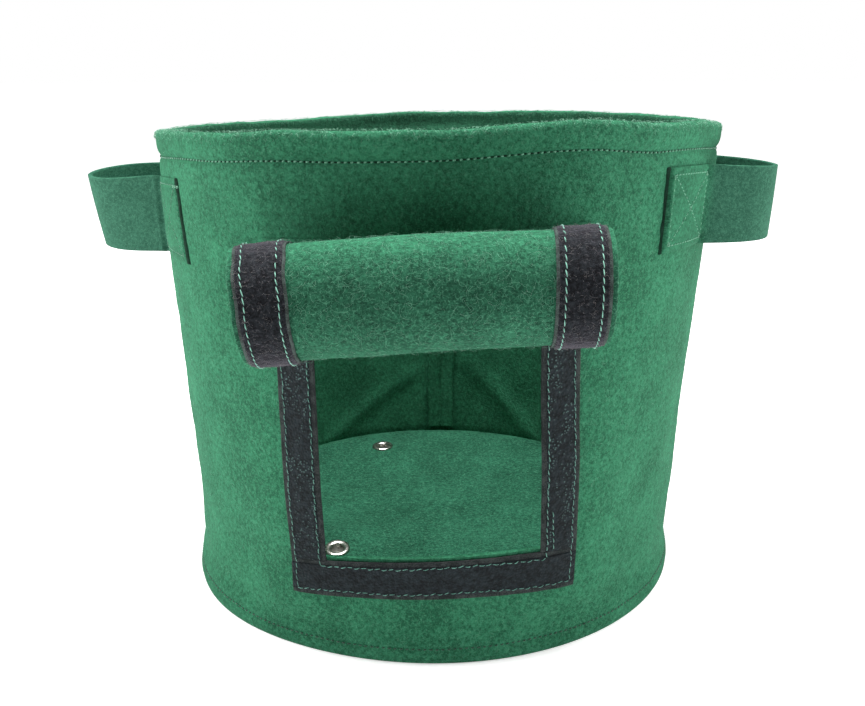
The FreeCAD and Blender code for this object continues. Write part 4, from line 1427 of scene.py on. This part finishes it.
def emission(name, colour, strength, diffuse):
    """A pale surface that also glows, by the distance from its middle in metres: dim under
    the bag, a little beside it, and white further out. The glow is painted light: it keeps
    the floor white far out, where the lamps reach it less, and its dimming round the bag
    adds a painted contact shadow to the real one."""
    material = bpy.data.materials.new(name)
    material.use_nodes = True
    shader = material.node_tree.nodes["Principled BSDF"]
    shader.inputs["Base Color"].default_value = (diffuse, diffuse, diffuse, 1)
    shader.inputs["Roughness"].default_value = 0.9
    shader.inputs["Specular IOR Level"].default_value = 0.0
    shader.inputs["Emission Color"].default_value = colour
    nodes, links = material.node_tree.nodes, material.node_tree.links
    place = nodes.new("ShaderNodeTexCoord")
    distance = nodes.new("ShaderNodeVectorMath")
    distance.operation = "LENGTH"
    links.new(place.outputs["Object"], distance.inputs[0])
    fade = nodes.new("ShaderNodeFloatCurve")
    links.new(distance.outputs["Value"], fade.inputs["Value"])
    curve = fade.mapping.curves[0]
    for point, spot in zip(curve.points, ((0.0, 0.3), (1.0, 1.0))):
        point.location = spot
    for spot in ((0.155, 0.3), (0.19, strength), (0.25, strength), (0.9, 1.0)):
        curve.points.new(*spot)
    for point in curve.points:
        point.handle_type = "VECTOR"
    fade.mapping.update()
    links.new(fade.outputs[0], shader.inputs["Emission Strength"])
    return material


bpy.ops.mesh.primitive_plane_add(size=30, location=(0, 0, -0.5 * MM))
floor = bpy.context.object
floor.name = "floor"
floor.data.materials.append(emission("floor_painted_glow", (1, 1, 1, 1), 0.7, 0.8))


def area_light(name, place, target, size, power, colour=(1, 1, 1)):
    """A softbox that looks at a target: places and sizes in metres, and power in watts."""
    light = bpy.data.lights.new(name, "AREA")
    light.shape = "RECTANGLE"
    light.size, light.size_y = size
    light.energy = power
    light.color = colour
    obj = bpy.data.objects.new(name, light)
    obj.location = place
    obj.rotation_euler = (Vector(target) - Vector(place)).to_track_quat("-Z", "Y").to_euler()
    bpy.context.scene.collection.objects.link(obj)


ROOM_TINT = (1, 0.8, 0.93)
WORLD_LIGHT = 0.12
area_light("left_softbox", (-1.3, -0.02, 0.75), (0, 0, 0.16), (0.9, 1.3), 27)
area_light("right_softbox", (1.3, 0.04, 0.7), (0, 0, 0.16), (0.9, 1.3), 20.5)
area_light("overhead", (0, 0, 1.3), (0, 0, 0.2), (0.9, 0.45), 29)
area_light("front_fill", (0.1, -1.5, 0.35), (0, 0, 0.1), (1.0, 0.5), 1.5, ROOM_TINT)

# The camera sees a white room, and the bag is lit by a dim and slightly warm one
world = bpy.data.worlds.new("studio")
bpy.context.scene.world = world
world.use_nodes = True
nodes, links = world.node_tree.nodes, world.node_tree.links
background = nodes["Background"]
path = nodes.new("ShaderNodeLightPath")
strength = nodes.new("ShaderNodeMapRange")
strength.inputs["To Min"].default_value = WORLD_LIGHT
strength.inputs["To Max"].default_value = 1.0
links.new(path.outputs["Is Camera Ray"], strength.inputs["Value"])
links.new(strength.outputs[0], background.inputs["Strength"])
tint = nodes.new("ShaderNodeMix")
tint.data_type = "RGBA"
tint.inputs[6].default_value = (*ROOM_TINT, 1)
tint.inputs[7].default_value = (1, 1, 1, 1)
links.new(path.outputs["Is Camera Ray"], tint.inputs[0])
links.new(tint.outputs[2], background.inputs["Color"])

scene = bpy.context.scene
scene.view_settings.view_transform = "Standard"
scene.view_settings.look = "None"

camera_data = bpy.data.cameras.new("camera")
camera_data.lens = 40.6
camera_data.sensor_width = 36
camera_data.clip_start = 0.01
camera = bpy.data.objects.new("camera", camera_data)
camera.location = (0.0206, -0.6437, 0.3277)
heading, down, roll = math.radians(2), math.radians(16.68), math.radians(-0.18)
look = Vector((-math.sin(heading) * math.cos(down), math.cos(heading) * math.cos(down), -math.sin(down)))
turned = look.to_track_quat("-Z", "Y").to_matrix().to_4x4()
camera.rotation_euler = (turned @ Matrix.Rotation(roll, 4, "Z")).to_euler()
scene.collection.objects.link(camera)
scene.camera = camera
